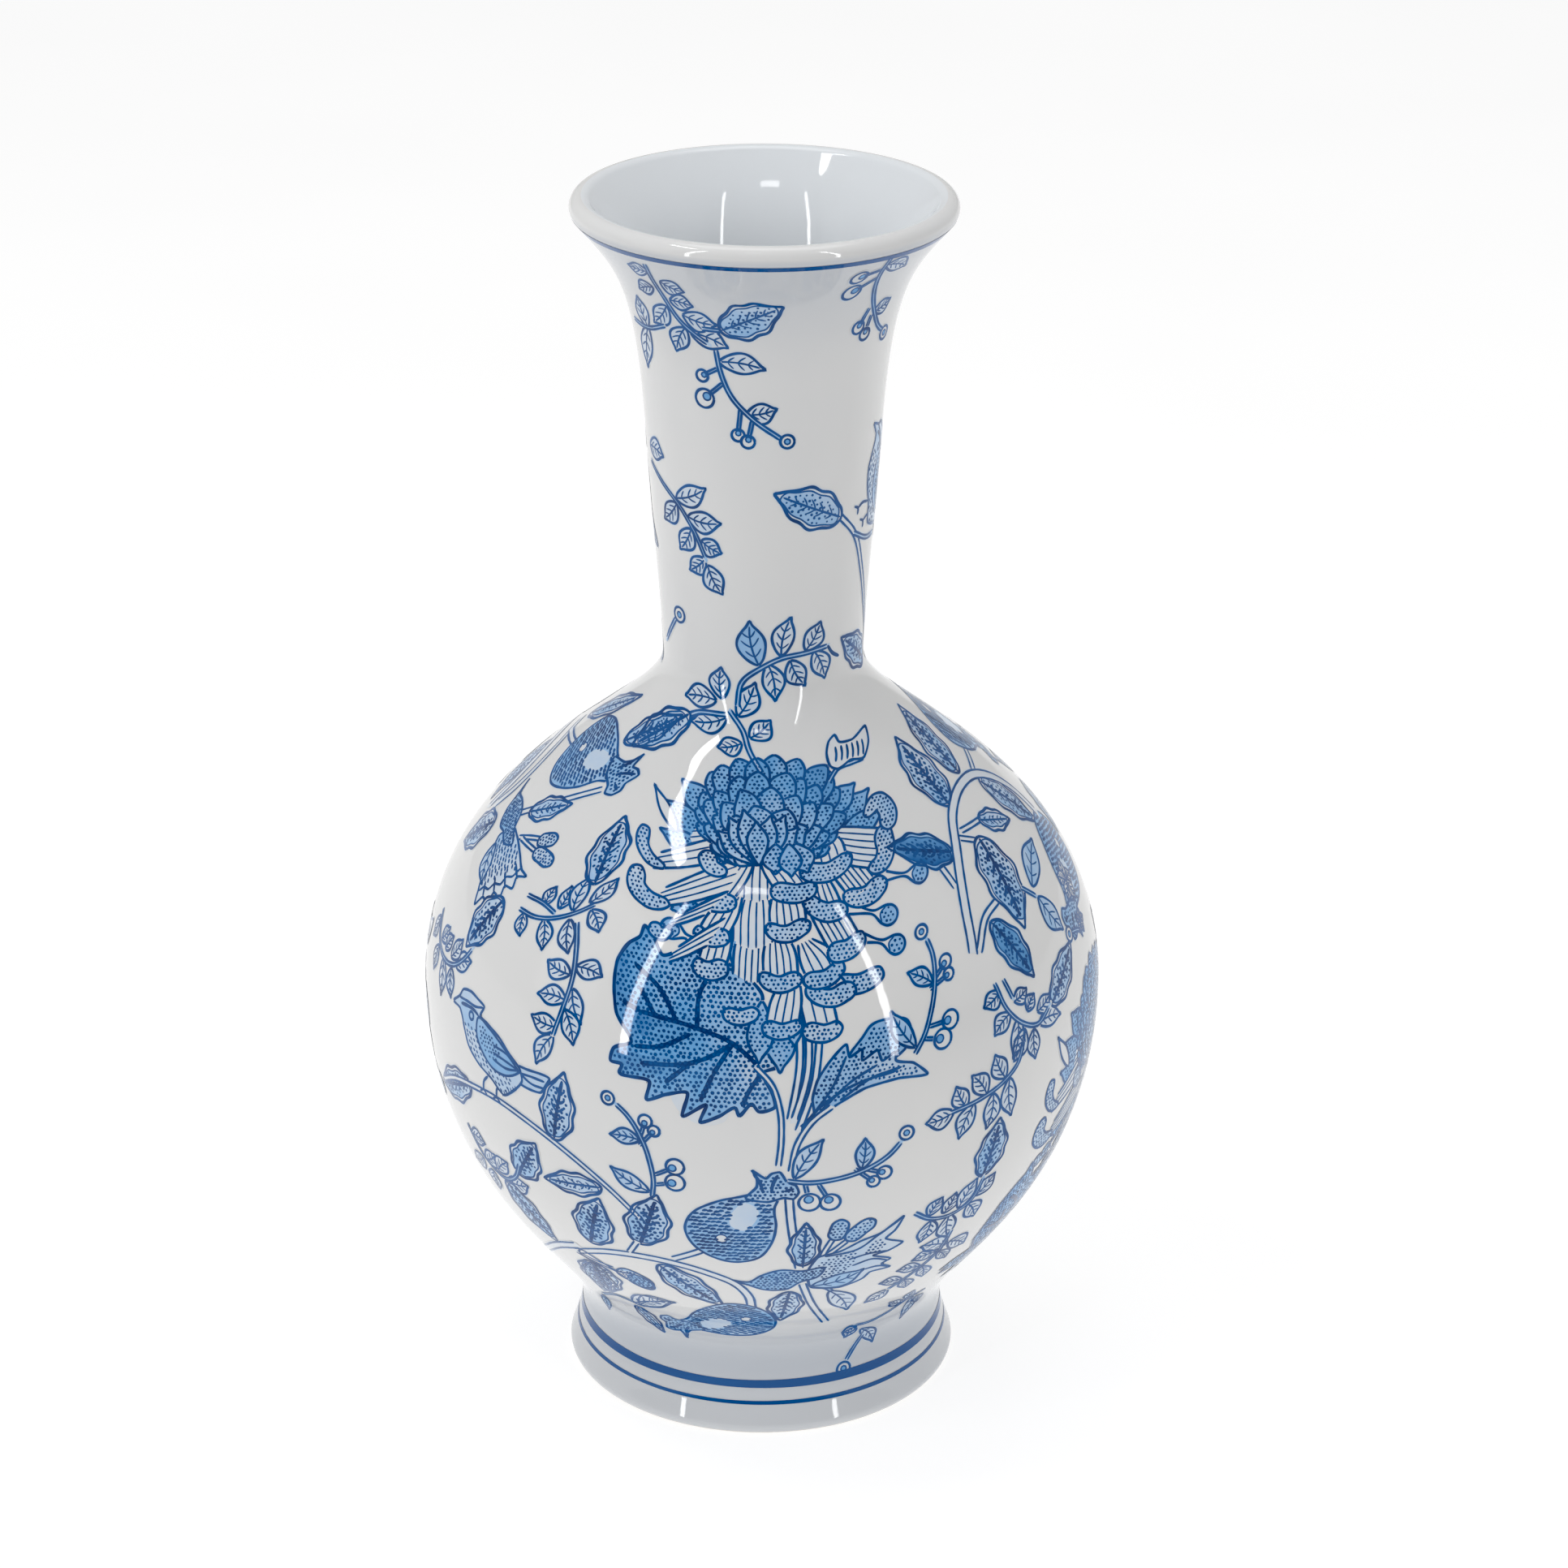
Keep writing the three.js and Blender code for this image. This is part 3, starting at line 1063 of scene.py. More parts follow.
# Round-ended stalks have a root, a tip and the radius of the end; pointed petals have a width instead.
PETAL_CLUBS = [
    ((26, 47), (42.5, 41.5), 3.0), ((24, 56), (40, 51), 3.2), ((34, 64), (52, 61.5), 3.2),
    ((-17, 44), (-28.5, 48.5), 3.2),
]
SIDE_PETALS = [
    ((-14, 86), (-26, 98), 9), ((-15, 78), (-33, 90), 9), ((-14, 72), (-33, 80), 7.5),
    ((-18, 58), (-28.5, 54.5), 6), ((20, 80), (35, 93), 9), ((18, 86), (30, 96), 8.5),
    ((22, 78), (40, 85), 8), ((-8, 53), (-4.5, 33.5), 7.5),
]
FRONT_PETALS = [((10, 78), (14, 68), 8), ((4, 78), (4, 68), 8), ((8, 78), (9, 67), 7)]
HANGING_PETALS = [((6, 26), (5.5, 6), 9), ((0, 28), (-1, 9), 8), ((9, 28), (10, 14), 6)]
BLOSSOM_HEART = (-1.0, 71.0)
BLOSSOM_MIDDLE = (2.5, 88.5)
BLOSSOM_RADII = (23.5, 20.5)
BLOSSOM_FAN = 164              # degrees that the rows of scales open to
# Each row of scales: how far out it is, how many scales it has and how blunt they are.
SCALE_ROWS = ((1.0, 17, 1.0), (0.86, 13, 0.85), (0.71, 10, 0.66), (0.55, 7, 0.6))
SCALE_SIDE = ((0.8, 0.11), (1.0, 0.45), (0.7, 0.85))      # a scale's half width, and how far back it is
HEART_TIPS = [
    ((-14, 82), 7), ((11, 83.5), 7.5), ((-10.5, 87), 7.5), ((7, 88), 7.5), ((-6, 90), 7.5), ((2.5, 88), 7),
    ((-2, 86), 6.5),
]


def blossom_reach(angle):
    """How far the oval head of the blossom goes from its heart, in a direction."""
    c, s = math.cos(angle), math.sin(angle)
    rx, ry = BLOSSOM_RADII
    x, y = BLOSSOM_HEART[0] - BLOSSOM_MIDDLE[0], BLOSSOM_HEART[1] - BLOSSOM_MIDDLE[1]
    a = (c / rx) ** 2 + (s / ry) ** 2
    b = 2 * (x * c / rx ** 2 + y * s / ry ** 2)
    k = (x / rx) ** 2 + (y / ry) ** 2 - 1
    return (-b + math.sqrt(b * b - 4 * a * k)) / (2 * a)


def scale_outline(angle, reach, half, lean, blunt):
    """The outline of one scale, from its tip down one side and up the other."""
    heart = np.array(BLOSSOM_HEART)
    out = np.array([math.cos(angle), math.sin(angle)])
    across = np.array([-out[1], out[0]])
    long = min(reach * 0.62, 5.6 * half)
    sides = [((blunt if i == 0 else 1.0) * side, back) for i, (side, back) in enumerate(SCALE_SIDE)]
    return ([heart + out * reach + across * lean * half]
            + [heart + out * (reach - long * back) + across * half * side for side, back in sides]
            + [heart + out * (reach - long * 1.3)]
            + [heart + out * (reach - long * back) - across * half * side for side, back in sides[::-1]])


def blossom_head(drawing):
    """Rows of dotted scales that open from the heart of the blossom."""
    for share, count, blunt in SCALE_ROWS:
        for i in sorted(range(count), key=lambda k: -abs(k - (count - 1) / 2)):
            angle = math.radians(8 + BLOSSOM_FAN * (i + 0.5) / count + rng.uniform(-3, 3))
            reach = blossom_reach(angle) * share * rng.uniform(0.96, 1.03)
            half = reach * math.radians(BLOSSOM_FAN / count) * rng.uniform(0.56, 0.7)
            lean = rng.uniform(-0.4, 0.4)
            depth = 0.34 + 0.3 * (share - 0.7) + 0.06 * math.cos(angle)
            edge = drawing.shape(scale_outline(angle, reach, half, lean, blunt), depth + 0.14, LINE, 0.95,
                                 depth - 0.10, math.degrees(angle) + 180)
            drawing.dots(edge)
    dotted_petals(drawing, [(BLOSSOM_HEART, tip, width) for tip, width in HEART_TIPS], 0.32)


def chrysanthemum():
    """A round head of dotted scales over tiers of striped petals that hang and curl."""
    d = Drawing()
    dotted_petals(d, SIDE_PETALS, 0.46)
    d.shape(blade((-27, 80), (-36, 94), 4), PETAL_TONE)
    for root, tip, radius in PETAL_CLUBS:
        club(d, root, tip, radius)
    dotted_petals(d, HANGING_PETALS, 0.35)
    for path, width in LOW_CURLS:
        curl(d, path, width)
    for tier in (LOW_PETALS, MIDDLE_PETALS, HIGH_PETALS):
        for shape in tier:
            petal(d, *shape, bow=rng.uniform(-0.05, 0.05))
    for shape in LEFT_PETALS:
        petal(d, *shape, root_share=1.8)
    for path, width in HIGH_CURLS:
        curl(d, path, width, 0.25)
    blossom_head(d)
    dotted_petals(d, FRONT_PETALS, 0.35)
    flag_petal(d)
    return d


def flag_petal(drawing):
    """The striped petal that flies out at the top of the blossom."""
    stem(drawing, [(21, 98), (24, 102), (29, 103), (34, 103.5)], 1.2)
    drawing.shape([(22, 103), (20.5, 108), (21.5, 112), (23.5, 113.5), (25, 111), (30, 110.5), (36.5, 113),
                   (37, 108.5), (34, 103.5), (29, 104), (24, 102)], 0.08, LINE, 0.7)
    bars = 23.6 + 2.1 * np.arange(6)
    drawing.strokes([(x, 104.5), (x + 0.3, 107), (x, 109.6)] for x in bars)


def lobed_leaf():
    """The big toothed leaf behind the blossom, dotted all over and darker at its left."""
    d = Drawing()
    d.wash(smooth([(-28, -4), (-25, -8.5), (-19, -11.8), (-11, -9.8), (-10, -4)], True), 0.07, 0.14, 150)
    outline = [(4, -5), (-1, -6.5), (-3, -4), (-7, -8), (-8, -5.5), (-13, -8.5), (-19, -11), (-17, -5),
               (-24.5, -9.5), (-23, -1.5), (-30, -3), (-36, -5.5), (-35, 0.5), (-45, 2), (-44, 4.5),
               (-48, 5), (-47, 9), (-41, 12), (-46, 20), (-47, 29), (-46, 36), (-42, 42), (-38.5, 44.5),
               (-37, 48), (-34, 45), (-31, 40), (-25, 42), (-19, 42), (-8, 38), (0, 30), (0, 22), (8, 15),
               (5, 8), (0, 6), (3, 0)]
    edge = d.shape(outline, 0.62, BOLD, 0.75, 0.24, 0)
    for shade in ([(-46, 22), (-47, 30), (-45, 37), (-41, 42), (-37, 46), (-33, 42), (-35, 33), (-40, 24)],
                  [(-39, 21), (-28, 21), (-19, 23), (-12, 18), (-20, 16), (-30, 13), (-39, 16)],
                  [(-46, 8), (-34, 8.5), (-24, 9.5), (-17, 8), (-24, 4), (-36, 3), (-44, 5)]):
        d.wash(smooth(shade, True), 0.78, 0.34)
    d.dots(edge, 1.7, 0.58, 0.9)
    veins = [
        [(3, 2), (-3, 10), (-9, 15), (-20, 19), (-38, 22)], [(-9, 15), (-15, 11), (-22, 8), (-38, 6)],
        [(-9, 15), (-15, 5)], [(-20, 19), (-19, 30), (-10, 42)], [(-22, 8), (-30, 1)],
        [(-26, 20), (-32, 30), (-40, 36)], [(-38, 22), (-44, 24)], [(-15, 5), (-19, -4)],
        [(-22, 17), (-32, 12), (-40, 11)], [(-33, 21), (-38, 29)], [(0, 6), (-4, 0), (-6, -5)],
    ]
    d.strokes(veins, HEAVIEST)
    return d


def winged_leaf():
    """The toothed leaf at the right of the stems, with one lobe folded over."""
    d = Drawing()
    lobe = d.shape([(27, 10), (31, 15), (34, 18.5), (40, 19.5), (46, 18), (47, 12), (41, 7)], 0.34)
    d.dots(lobe, margin=0.9)
    edge = d.shape([(12, -12), (16, -8), (15.5, -3), (17, 3), (21, 9), (26, 13.5), (27, 9.5), (31, 11.5),
                    (31, 8), (36, 10.5), (37.5, 7), (42, 9), (42, 6.5), (48, 4.5), (53, 0), (43, 0.5),
                    (32, -1), (22, -6), (16, -10)], 0.36, LINE, 0.6, 0.22, 20)
    d.dots(edge, margin=0.9)
    d.strokes([[(15, -9), (22, 1), (26, 10)], [(18, -7), (28, 2), (36, 6)], [(24, -4), (34, 2), (44, 4)],
               [(12, -12), (20, -4), (30, 1), (42, 3)]])
    stem(d, [(9, -28), (11, -18), (16, -10), (22, -5.5)], 1.6)
    return d


def pomegranate():
    """A fruit shaded with short ticks, with a pale patch, a navel and a ragged crown at its upper right."""
    d = Drawing()
    edge = d.shape([(4, 16), (-5, 13), (-13, 7), (-15, 1), (-13, -6), (-7, -12), (1, -14.5), (8, -12),
                    (12, -5), (13.5, 3), (13, 11), (14, 15), (10, 18.5)], 0.3, far_tone=0.42, towards=-120)
    shine = smooth([(4, 13), (8, 10), (7, 5), (3, 1), (-0.5, 3), (0, 9)], True)
    navel = smooth(circle((-3.5, -3), 1.9), True)
    d.wash(shine, 0.2)
    d.wash(navel, 0.1)
    d.stroke(navel, FINE, bleed=False)
    spots = spread(edge, 1.8, 0.9, 0.14)
    spots = spots[~is_inside(spots, shine) & ~is_inside(spots, navel)]
    d.strokes(([(x - 0.9, y - 0.25), (x, y + 0.15), (x + 0.9, y + 0.1)] for x, y in spots), BOLD)
    crown = d.shape([(4, 15), (7.5, 19.5), (7.5, 23), (6, 25.7), (10.5, 22.7), (12, 24.4), (14.5, 25),
                     (17, 21), (19.5, 19.8), (20.5, 17), (19, 14.5), (16, 15), (11, 13.5)], 0.34, LINE, 0.6)
    d.dots(crown, radius=DOT * 1.1)
    d.strokes([[(6.5, 24.5), (8.5, 21), (9.5, 17)], [(14, 24), (12.5, 20.5), (12, 17)],
               [(19, 18.5), (16, 17.5)]], BOLD)
    return d


def berry_sprig():
    """A bare stem with two leaflets and five berries, growing up from the origin."""
    d = Drawing()
    berries(d, [((7.5, 12), 2.9, (1, 8)), ((7.5, 6), 3.1, (0.5, 4)), ((-2, 27), 2.2, (-4, 20)),
                ((0.8, 24), 1.9, (-4, 18))])
    stem(d, [(0, -1), (0.5, 5), (-0.5, 12), (-3, 20), (-8, 28), (-13, 32)], 1.1)
    berry(d, (-14.5, 32.5), 2.2)
    leaflet(d, (-1, 1), (-14, 8), 6, 0.05)
    leaflet(d, (-4, 20), (-14, 20), 5.5, -0.05)
    return d


def bird():
    """A capped bird on short legs that looks to the left."""
    d = Drawing()
    for x in (-6, 1):
        d.stroke([(x + 3, -6), (x + 0.5, -9), (x, -12)], LINE)
        d.stroke([(x - 2, -13.2), (x, -12), (x + 2, -13.4)], LINE)
    d.shape([(10, 3), (16, 3.5), (25.5, 3), (24, 0.5), (22, -2.5), (18, -3), (12, -2)], 0.26, roundness=0.7)
    body = d.shape([(-25.5, 11), (-21.5, 14.5), (-20, 17), (-15, 18.3), (-10, 17.5), (-6.5, 16.5), (-8, 13),
                    (-4, 12), (3, 9.5), (8, 6), (13, 2.5), (14, -1), (10, -6), (5, -9.5), (-1, -6),
                    (-8, -3.5), (-14, 0.5), (-17, 5.5), (-19, 9), (-20.5, 10.5)], 0.22, roundness=0.7)
    d.wash(smooth([(-21, 13.5), (-14, 14.5), (-8.5, 13), (-9, 9), (-13, 6), (-18, 8)], True), 0.32)
    d.strokes([[(-21.5, 14), (-16, 14.6), (-11, 14.8), (-7, 16)]])
    d.strokes([[(-20, 12.5), (-16, 13.2), (-12, 13.4), (-9, 12.6)]], BOLD)
    d.stroke(circle((-13, 11), 1.3), LINE, True, bleed=False)
    d.dots(circle((-13, 11), 0.9), 2.0, 0.7, 0)
    spots = [(x, y) for x, y in spread(body, 1.9, 0.9, 0.2) if y < 8 and x < 9]
    d.strokes([(x - 0.5, y + 0.4), (x + 0.4, y - 0.4)] for x, y in spots)
    d.shape([(-9, 12), (-2, 10.5), (7, 6), (13, 2), (9, -1.2), (0, -2), (-5, 1), (-9, 6)], 0.4)
    d.dots(smooth([(-8, 10), (-2, 9), (4, 5), (3, 1), (-4, 2)], True), 1.5, DOT, 0.3)
    d.strokes([(0, y + 1.6), (7, y + 0.8), (12.5, 1.8)] for y in (4.5, 2, -0.3))
    d.strokes([(13, 1.2), (18, y), (23.5, y)] for y in (1.6, -0.8))
    down = [(4 + 1.1 * i, -8.6 + 0.75 * i, -10.2 + 0.75 * i) for i in range(7)]
    d.strokes([[(x, top), (x + 0.6, bottom)] for x, top, bottom in down], FINE)
    return d


def paired_buds(drawing):
    """Two long buds on stalks, beside a flower whose calyx is at the origin."""
    for path in ([(13, 9), (15, 15), (19, 24)], [(14, 11), (20, 17), (27, 24)]):
        stem(drawing, path, 1.6)
    curl(drawing, [(18, 20), (20, 27), (20.5, 29)], 5.6)
    curl(drawing, [(22, 19), (27, 24), (31, 27)], 5.4)


def dotted_calyx(drawing):
    calyx = drawing.shape([(-15, 0), (-9, -1), (-5, 3), (1, 6), (8, 5), (15, 6), (13, 1), (7, -2), (3, -6),
                           (-4, -6), (-9, -3)], 0.36, LINE, 0.9)
    drawing.dots(calyx, DOT_GAP * 0.9, DOT * 1.15)


def bell_flower():
    """A bell with a scalloped rim that opens to the right from a calyx at the origin."""
    d = Drawing()
    paired_buds(d)
    top, bottom = [(8, 5), (14, 9), (22, 12), (28, 13.5)], [(28, -10.5), (21, -9), (14, -6.5), (8, -4)]
    rim = [(32, 16), (30.5, 11.5), (34.5, 9.5), (32, 5.5), (36, 3), (32.5, -0.5), (35.5, -4), (32, -7),
           (33, -12)]
    body = d.shape(top + rim + bottom, 0.3, LINE, 0.6, 0.1, 0)
    spots = [(x, y) for x, y in spread(body, 2.1, 1.2, 0.2) if x < 27]
    d.strokes([(x - 0.9, y), (x + 0.9, y)] for x, y in spots)
    d.stroke([(27.5, 13), (29.5, 9), (28.5, 6), (30.5, 3), (29, -0.5), (30, -4), (28, -7), (28.5, -10)],
             roundness=0.5)
    d.strokes([(x - 6, 0.9 * y), (x, y)] for x, y in rim[1::2])
    leaflet(d, (11, -5), (26, -9), 7.5, -0.1, 0.25)
    dotted_calyx(d)
    return d


def tulip():
    """A bell flower that opens to the right from a dotted calyx at the origin, with buds and a leaf."""
    d = Drawing()
    paired_buds(d)
    stem(d, [(8, -3), (11, -18), (16, -36)], 2.2)
    stem(d, [(12, -5), (17, -9), (18, -14)], 1.2)
    leaflet(d, (17, -10), (23, -28), 8.5, 0.08, 0.22)
    body = d.shape([(10, 6), (13, 12), (20, 14), (27, 18), (33, 20), (41, 26), (38, 20), (35, 17), (41, 13),
                    (36, 10), (31, 9), (37, 5), (34, 3), (37, 0), (30, -1), (28, -4), (20, -8), (11, -6)],
                   0.26, LINE, 0.6, 0.14, 20)
    d.dots(smooth([(11, 4), (16, 11), (25, 13), (24, 4), (16, -2)], True), margin=0.4)
    d.dots(smooth([(28, 10), (30, 16), (35, 17), (34, 11)], True), margin=0.4)
    d.strokes([[(15, 12), (26, 14), (32, 19), (40, 25)], [(23, 9), (30, 10.5), (36, 10)],
               [(24, 5), (31, 7), (36, 4.5)], [(26, 1), (33, 2), (37, 0)]])
    leaflet(d, (11, -5), (28, 2), 8, -0.1, 0.3)
    dotted_calyx(d)
    return d


# ---- the pattern, laid out round the vase ----------------------------------------------------------

def leaves(drawing, rows):
    """Stippled leaves given as rows of base, tip and width."""
    for x0, y0, x1, y1, width in rows:
        stippled_leaf(drawing, (x0, y0), (x1, y1), width)


def leaflets(drawing, rows, width=5.8, tone=0.16):
    """Leaflets given as rows of base and tip; short ones are narrower."""
    for i, (x0, y0, x1, y1) in enumerate(rows):
        narrow = min(1.0, 0.45 + math.hypot(x1 - x0, y1 - y0) / 18)
        leaflet(drawing, (x0, y0), (x1, y1), width * narrow, 0.07 * (-1) ** i, tone)


def blossom_spray():
    """The big blossom with its stems, its toothed leaves and the fruit and berries below it."""
    d = Drawing()
    d.add(lobed_leaf())
    stem(d, [(-2, 8), (3, 2), (5.5, -6), (6, -16), (5, -27)], 1.5)
    for path in ([(11.3, 24), (11.5, 8), (8.6, -10)], [(14, 24), (14, 6), (9.5, -11)],
                 [(18, 22), (16, 2), (11, -14)]):
        stem(d, path, 1.9)
    d.add(winged_leaf())
    d.add(chrysanthemum())
    stem(d, [(-12.5, -57), (-18, -62), (-28, -69)], 2.2)
    stem(d, [(8.5, -38), (9, -46), (10, -56), (12, -72)], 2.4)
    d.add(pomegranate(), (-9, -53))
    leaves(d, [(13, -70, 14, -49, 10), (-39, -64, -33, -40, 15)])
    d.add(berry_sprig(), (-34.5, -40))
    d.add(berry_sprig(), (9, -31.5), -95, 1.1)
    d.add(berry_sprig(), (49, 8), -28)
    d.add(foot_border(), (0, -78))
    return d


def foot_border():
    """The vine, the fruit and the bell flower that run round the bottom of the belly."""
    d = Drawing()
    d.add(tulip(), (5, 0))
    stem(d, [(-65, -3), (-50, 5), (-40, 7), (-28, 6.5), (-18, 3.5), (-8, -3), (-4, -11), (-3, -20)], 2.6)
    stippled_leaf(d, (-33, 4), (-12, -19), 12)
    d.add(pomegranate(), (-9, -31), 155, 0.95)
    stippled_leaf(d, (9, -8), (6, -31), 11)
    stem(d, [(-43, 8), (-40, 15)], 1.8)
    stem(d, [(-64, -3), (-57, -5), (-49, -6)], 1.6)
    curl(d, [(-48, -6), (-41, -9), (-36, -13)], 7.5)
    stippled_leaf(d, (-57, -7), (-53, -31), 16)
    stem(d, [(-58, -38), (-50, -31), (-43, -32), (-38, -33)], 1.2)
    leaflet(d, (-41, -32), (-28, -22), 9, 0.15)
    stippled_leaf(d, (-43, -35), (-33, -51), 6)
    leaflet(d, (-58, -40), (-58, -53), 4.5, 0, 0.4)
    d.add(foot_sprig(), (30, -46))
    spray(d, [(64, 8), (60, 0), (52, -9), (42, -18)], 10, 3, 6)
    return d


def foot_sprig():
    """Two small flowers on a twig that trails down to the painted bands."""
    d = Drawing()
    stem(d, [(30, 12), (22, 10), (14, 4), (6, 1), (0, 2)], 1.1)
    for root, tip, width in (((0, 2), (-2, -6), 5), ((2, 1), (-3, -2), 4), ((4, -3), (9, -13), 5.5),
                             ((20, 9), (14, 14), 5), ((22, 10), (24, 17), 5), ((24, 9), (21, -7), 5.5),
                             ((26, 8), (28, 0), 5)):
        leaflet(d, root, tip, width, 0.1, 0.2)
    stem(d, [(5, -7), (2, -12), (-1, -17)], 1.0)
    berry(d, (-2, -20), 2.4)
    return d


def left_shoulder(outer_vine=True):
    """A bell flower, round buds and ferns, and a fruit and a vine beyond them where there is room."""
    d = Drawing()
    stippled_leaf(d, (-1, 46), (12, 62), 11)
    if outer_vine:
        stippled_leaf(d, (-42, 37), (-12, 60), 8)
        stem(d, [(-47, 33), (-39, 27), (-36, 18), (-37, 8), (-43, -3)], 3)
        stem(d, [(-16, 34), (-28, 32), (-42, 30)], 2)
        d.add(pomegranate(), (-13, 34), -51)
    stem(d, [(8, 29), (0, 22), (-8, 15), (-19, 6)], 2)
    leaves(d, [(-14, 9, 2, 20, 9), (-31, -3, -50, -19, 13)])
    d.add(bell_flower(), (-23, 4), -47, 0.88)
    stippled_leaf(d, (3, -17), (-6, -37), 14)
    leaflets(d, [(21, -12, 21, -5), (27, -11, 26, -3), (32, -10, 30, 2), (36, -6, 39, 4), (38, -8, 45, -14),
                 (33, -13, 39, -23), (24, -16, 29, -25), (15, -17, 18, -24)])
    stippled_leaf(d, (33, 0), (24, 24), 12)
    stem(d, [(12, -16.5), (20, -16.5), (28, -14), (34, -10), (38, -6)], 1)
    stem(d, [(12, -11.5), (20, -11.5), (27, -13)], 1)
    leaflets(d, [(43, -29, 33, -27), (45, -37, 34, -38), (45, -46, 34, -45), (44, -49, 39, -60),
                 (44, -26, 54, -27), (46, -33, 53, -43), (46, -40, 52, -50)], 6.4)
    stem(d, [(36, -13), (41, -21), (44.5, -30), (45, -40), (44, -49)], 1.1)
    leaflets(d, [(-34, -39, -38, -47), (-27, -46, -29, -55), (-20, -47, -18, -59), (-12, -47, -9, -56),
                 (-9, -45, 0, -40), (-26, -43, -21, -37), (-20, -44, -16, -38), (-14, -44, -9, -36)], 6.4)
    stem(d, [(-34, -36), (-28, -44), (-18, -47), (-10, -45), (-5, -41), (-1, -35)], 1.1)
    return d


def left_belly():
    """A bird on a branch."""
    d = Drawing()
    leaves(d, [(-14, -14, -42, -26, 12), (26, -18, 31, 7, 13)])
    stem(d, [(-40, -24), (-25, -16.5), (-12, -13.5), (0, -12.5), (15, -15), (30, -21), (45, -32),
             (53, -42)], 1.7)
    d.add(bird())
    return d


def left_foot():
    """Leaves and a bud on a vine that climbs from the foot."""
    d = Drawing()
    leaves(d, [(-4, 17, 8, 34, 13), (32, 25, 9, 21, 9)])
    leaflets(d, [(-30, 21, -21, 21), (-24, 13, -16, 19), (-17, 12, -9, 19), (-12, 10, -1, 13),
                 (-27, 12, -37, 6), (-22, 9, -24, -1)], 7)
    stem(d, [(-32, 24), (-24, 13), (-14, 10), (-7, 14), (-2, 22)], 1.1)
    stippled_leaf(d, (-14, 9), (0, -14), 14)
    club(d, (10, -13), (29, -22), 4.5)
    stippled_leaf(d, (13, -18), (2, -44), 13)
    leaflets(d, [(15, -44, 34, -34)], 8)
    stem(d, [(-32, -44), (-15, -28), (0, -15.5), (12, -9)], 2.6)
    stippled_leaf(d, (19, -4), (30, 20), 14)
    return d


def right_shoulder(fruits=True):
    """A vine that arches over, with leaves and buds, and fruits hanging from it where there is room."""
    d = Drawing()
    if fruits:
        stem(d, [(25, 29), (38, 35)], 2)
        d.add(pomegranate(), (44, 43), -110)
        stippled_leaf(d, (16, 33), (18, 61), 14)
    leaves(d, [(-1, 27, 2, 55, 15), (23, 26, 41, 1, 12)])
    if fruits:
        d.add(pomegranate(), (43, -12), 167)
    stem(d, [(-22, 15), (-22, 3)], 2.2)
    stippled_leaf(d, (-14, 14), (-34, 22), 13, tone=0.72)
    stem(d, [(-5, 18.5), (8, 18)], 1.6)
    stippled_leaf(d, (6, 18), (22, 11), 8)
    stem(d, [(-8, 17), (-1, 13)], 1.8)
    stem(d, [(-27, -18), (-18, -9), (-8, -5.5)], 2)
    stem(d, [(-29.5, -18), (-23, -3), (-12, 14), (-2, 25), (8, 29.5), (20, 29.5), (33, 23), (43, 12),
             (48, 0)], 3)
    stippled_leaf(d, (0, 14), (-4, -18), 17)
    stippled_leaf(d, (-17, -11), (-8, -33), 12, tone=0.6)
    stem(d, [(4, -7), (10, -13)], 1.2)
    leaflets(d, [(10, -9, 27, 1), (10, -13, 17, -27)], 9, 0.3)
    leaflets(d, [(-25, -32, -33, -35), (-23, -40, -31, -45), (-20, -43, -24, -55), (-13, -49, -13, -59),
                 (-10, -48, 3, -50), (-20, -37, -13, -35), (-15, -42, -10, -38), (-10, -44, -2, -41)], 6.4)
    stippled_leaf(d, (-2, -45), (19, -32), 12)
    stem(d, [(-26, -29), (-24, -38), (-18, -45), (-11, -48), (-2, -44)], 1.1)
    stem(d, [(-22, -29), (-20, -37)], 1.1)
    stem(d, [(21, -30), (28, -32), (33, -35)], 1.1)
    berry(d, (20, -30), 2.4)
    if fruits:
        small_flower(d, (35, -18), 7.5)
        small_flower(d, (33, -31), 4.5)
    return d


def small_flower(drawing, centre, size):
    """Five pale petals round a centre."""
    for tip in circle(centre, size, 5):
        leaflet(drawing, centre, tip, 0.7 * size, 0, 0.06)


def right_belly():
    """Three ferns, one above another."""
    d = Drawing()
    leaflets(d, [(-22, 15, -26, 24), (-30, 12, -36, 20), (-38, 10, -42, 18), (-20, 14, -18, 0),
                 (-27, 11, -29, -1), (-35, 10, -40, -1), (-43, 9.5, -53, 8)], 7)
    leaflets(d, [(-12, 28, -18, 19)], 7)
    stem(d, [(-13, 24), (-16, 18), (-22, 14), (-32, 11), (-44, 9.5)], 1.1)
    leaflets(d, [(-44, -30, -41, -23), (-38, -31, -36, -23), (-32, -31, -28, -20), (-26, -28, -20, -21),
                 (-28, -31, -22, -39), (-35, -33, -30, -45), (-42, -33, -42, -43), (-28, -50, -40, -46),
                 (-27, -49, -17, -55)], 7)
    stippled_leaf(d, (-26, -20), (-23, 1), 13)
    stem(d, [(-50, -27), (-42, -32), (-35, -33), (-28, -30), (-25, -20)], 1.1)
    stem(d, [(-30, -42), (-29, -56)], 1.3)
    return d


def low_blossom():
    """The big blossom again, with its toothed leaf."""
    d = Drawing()
    d.add(lobed_leaf())
    d.add(chrysanthemum())
    return d


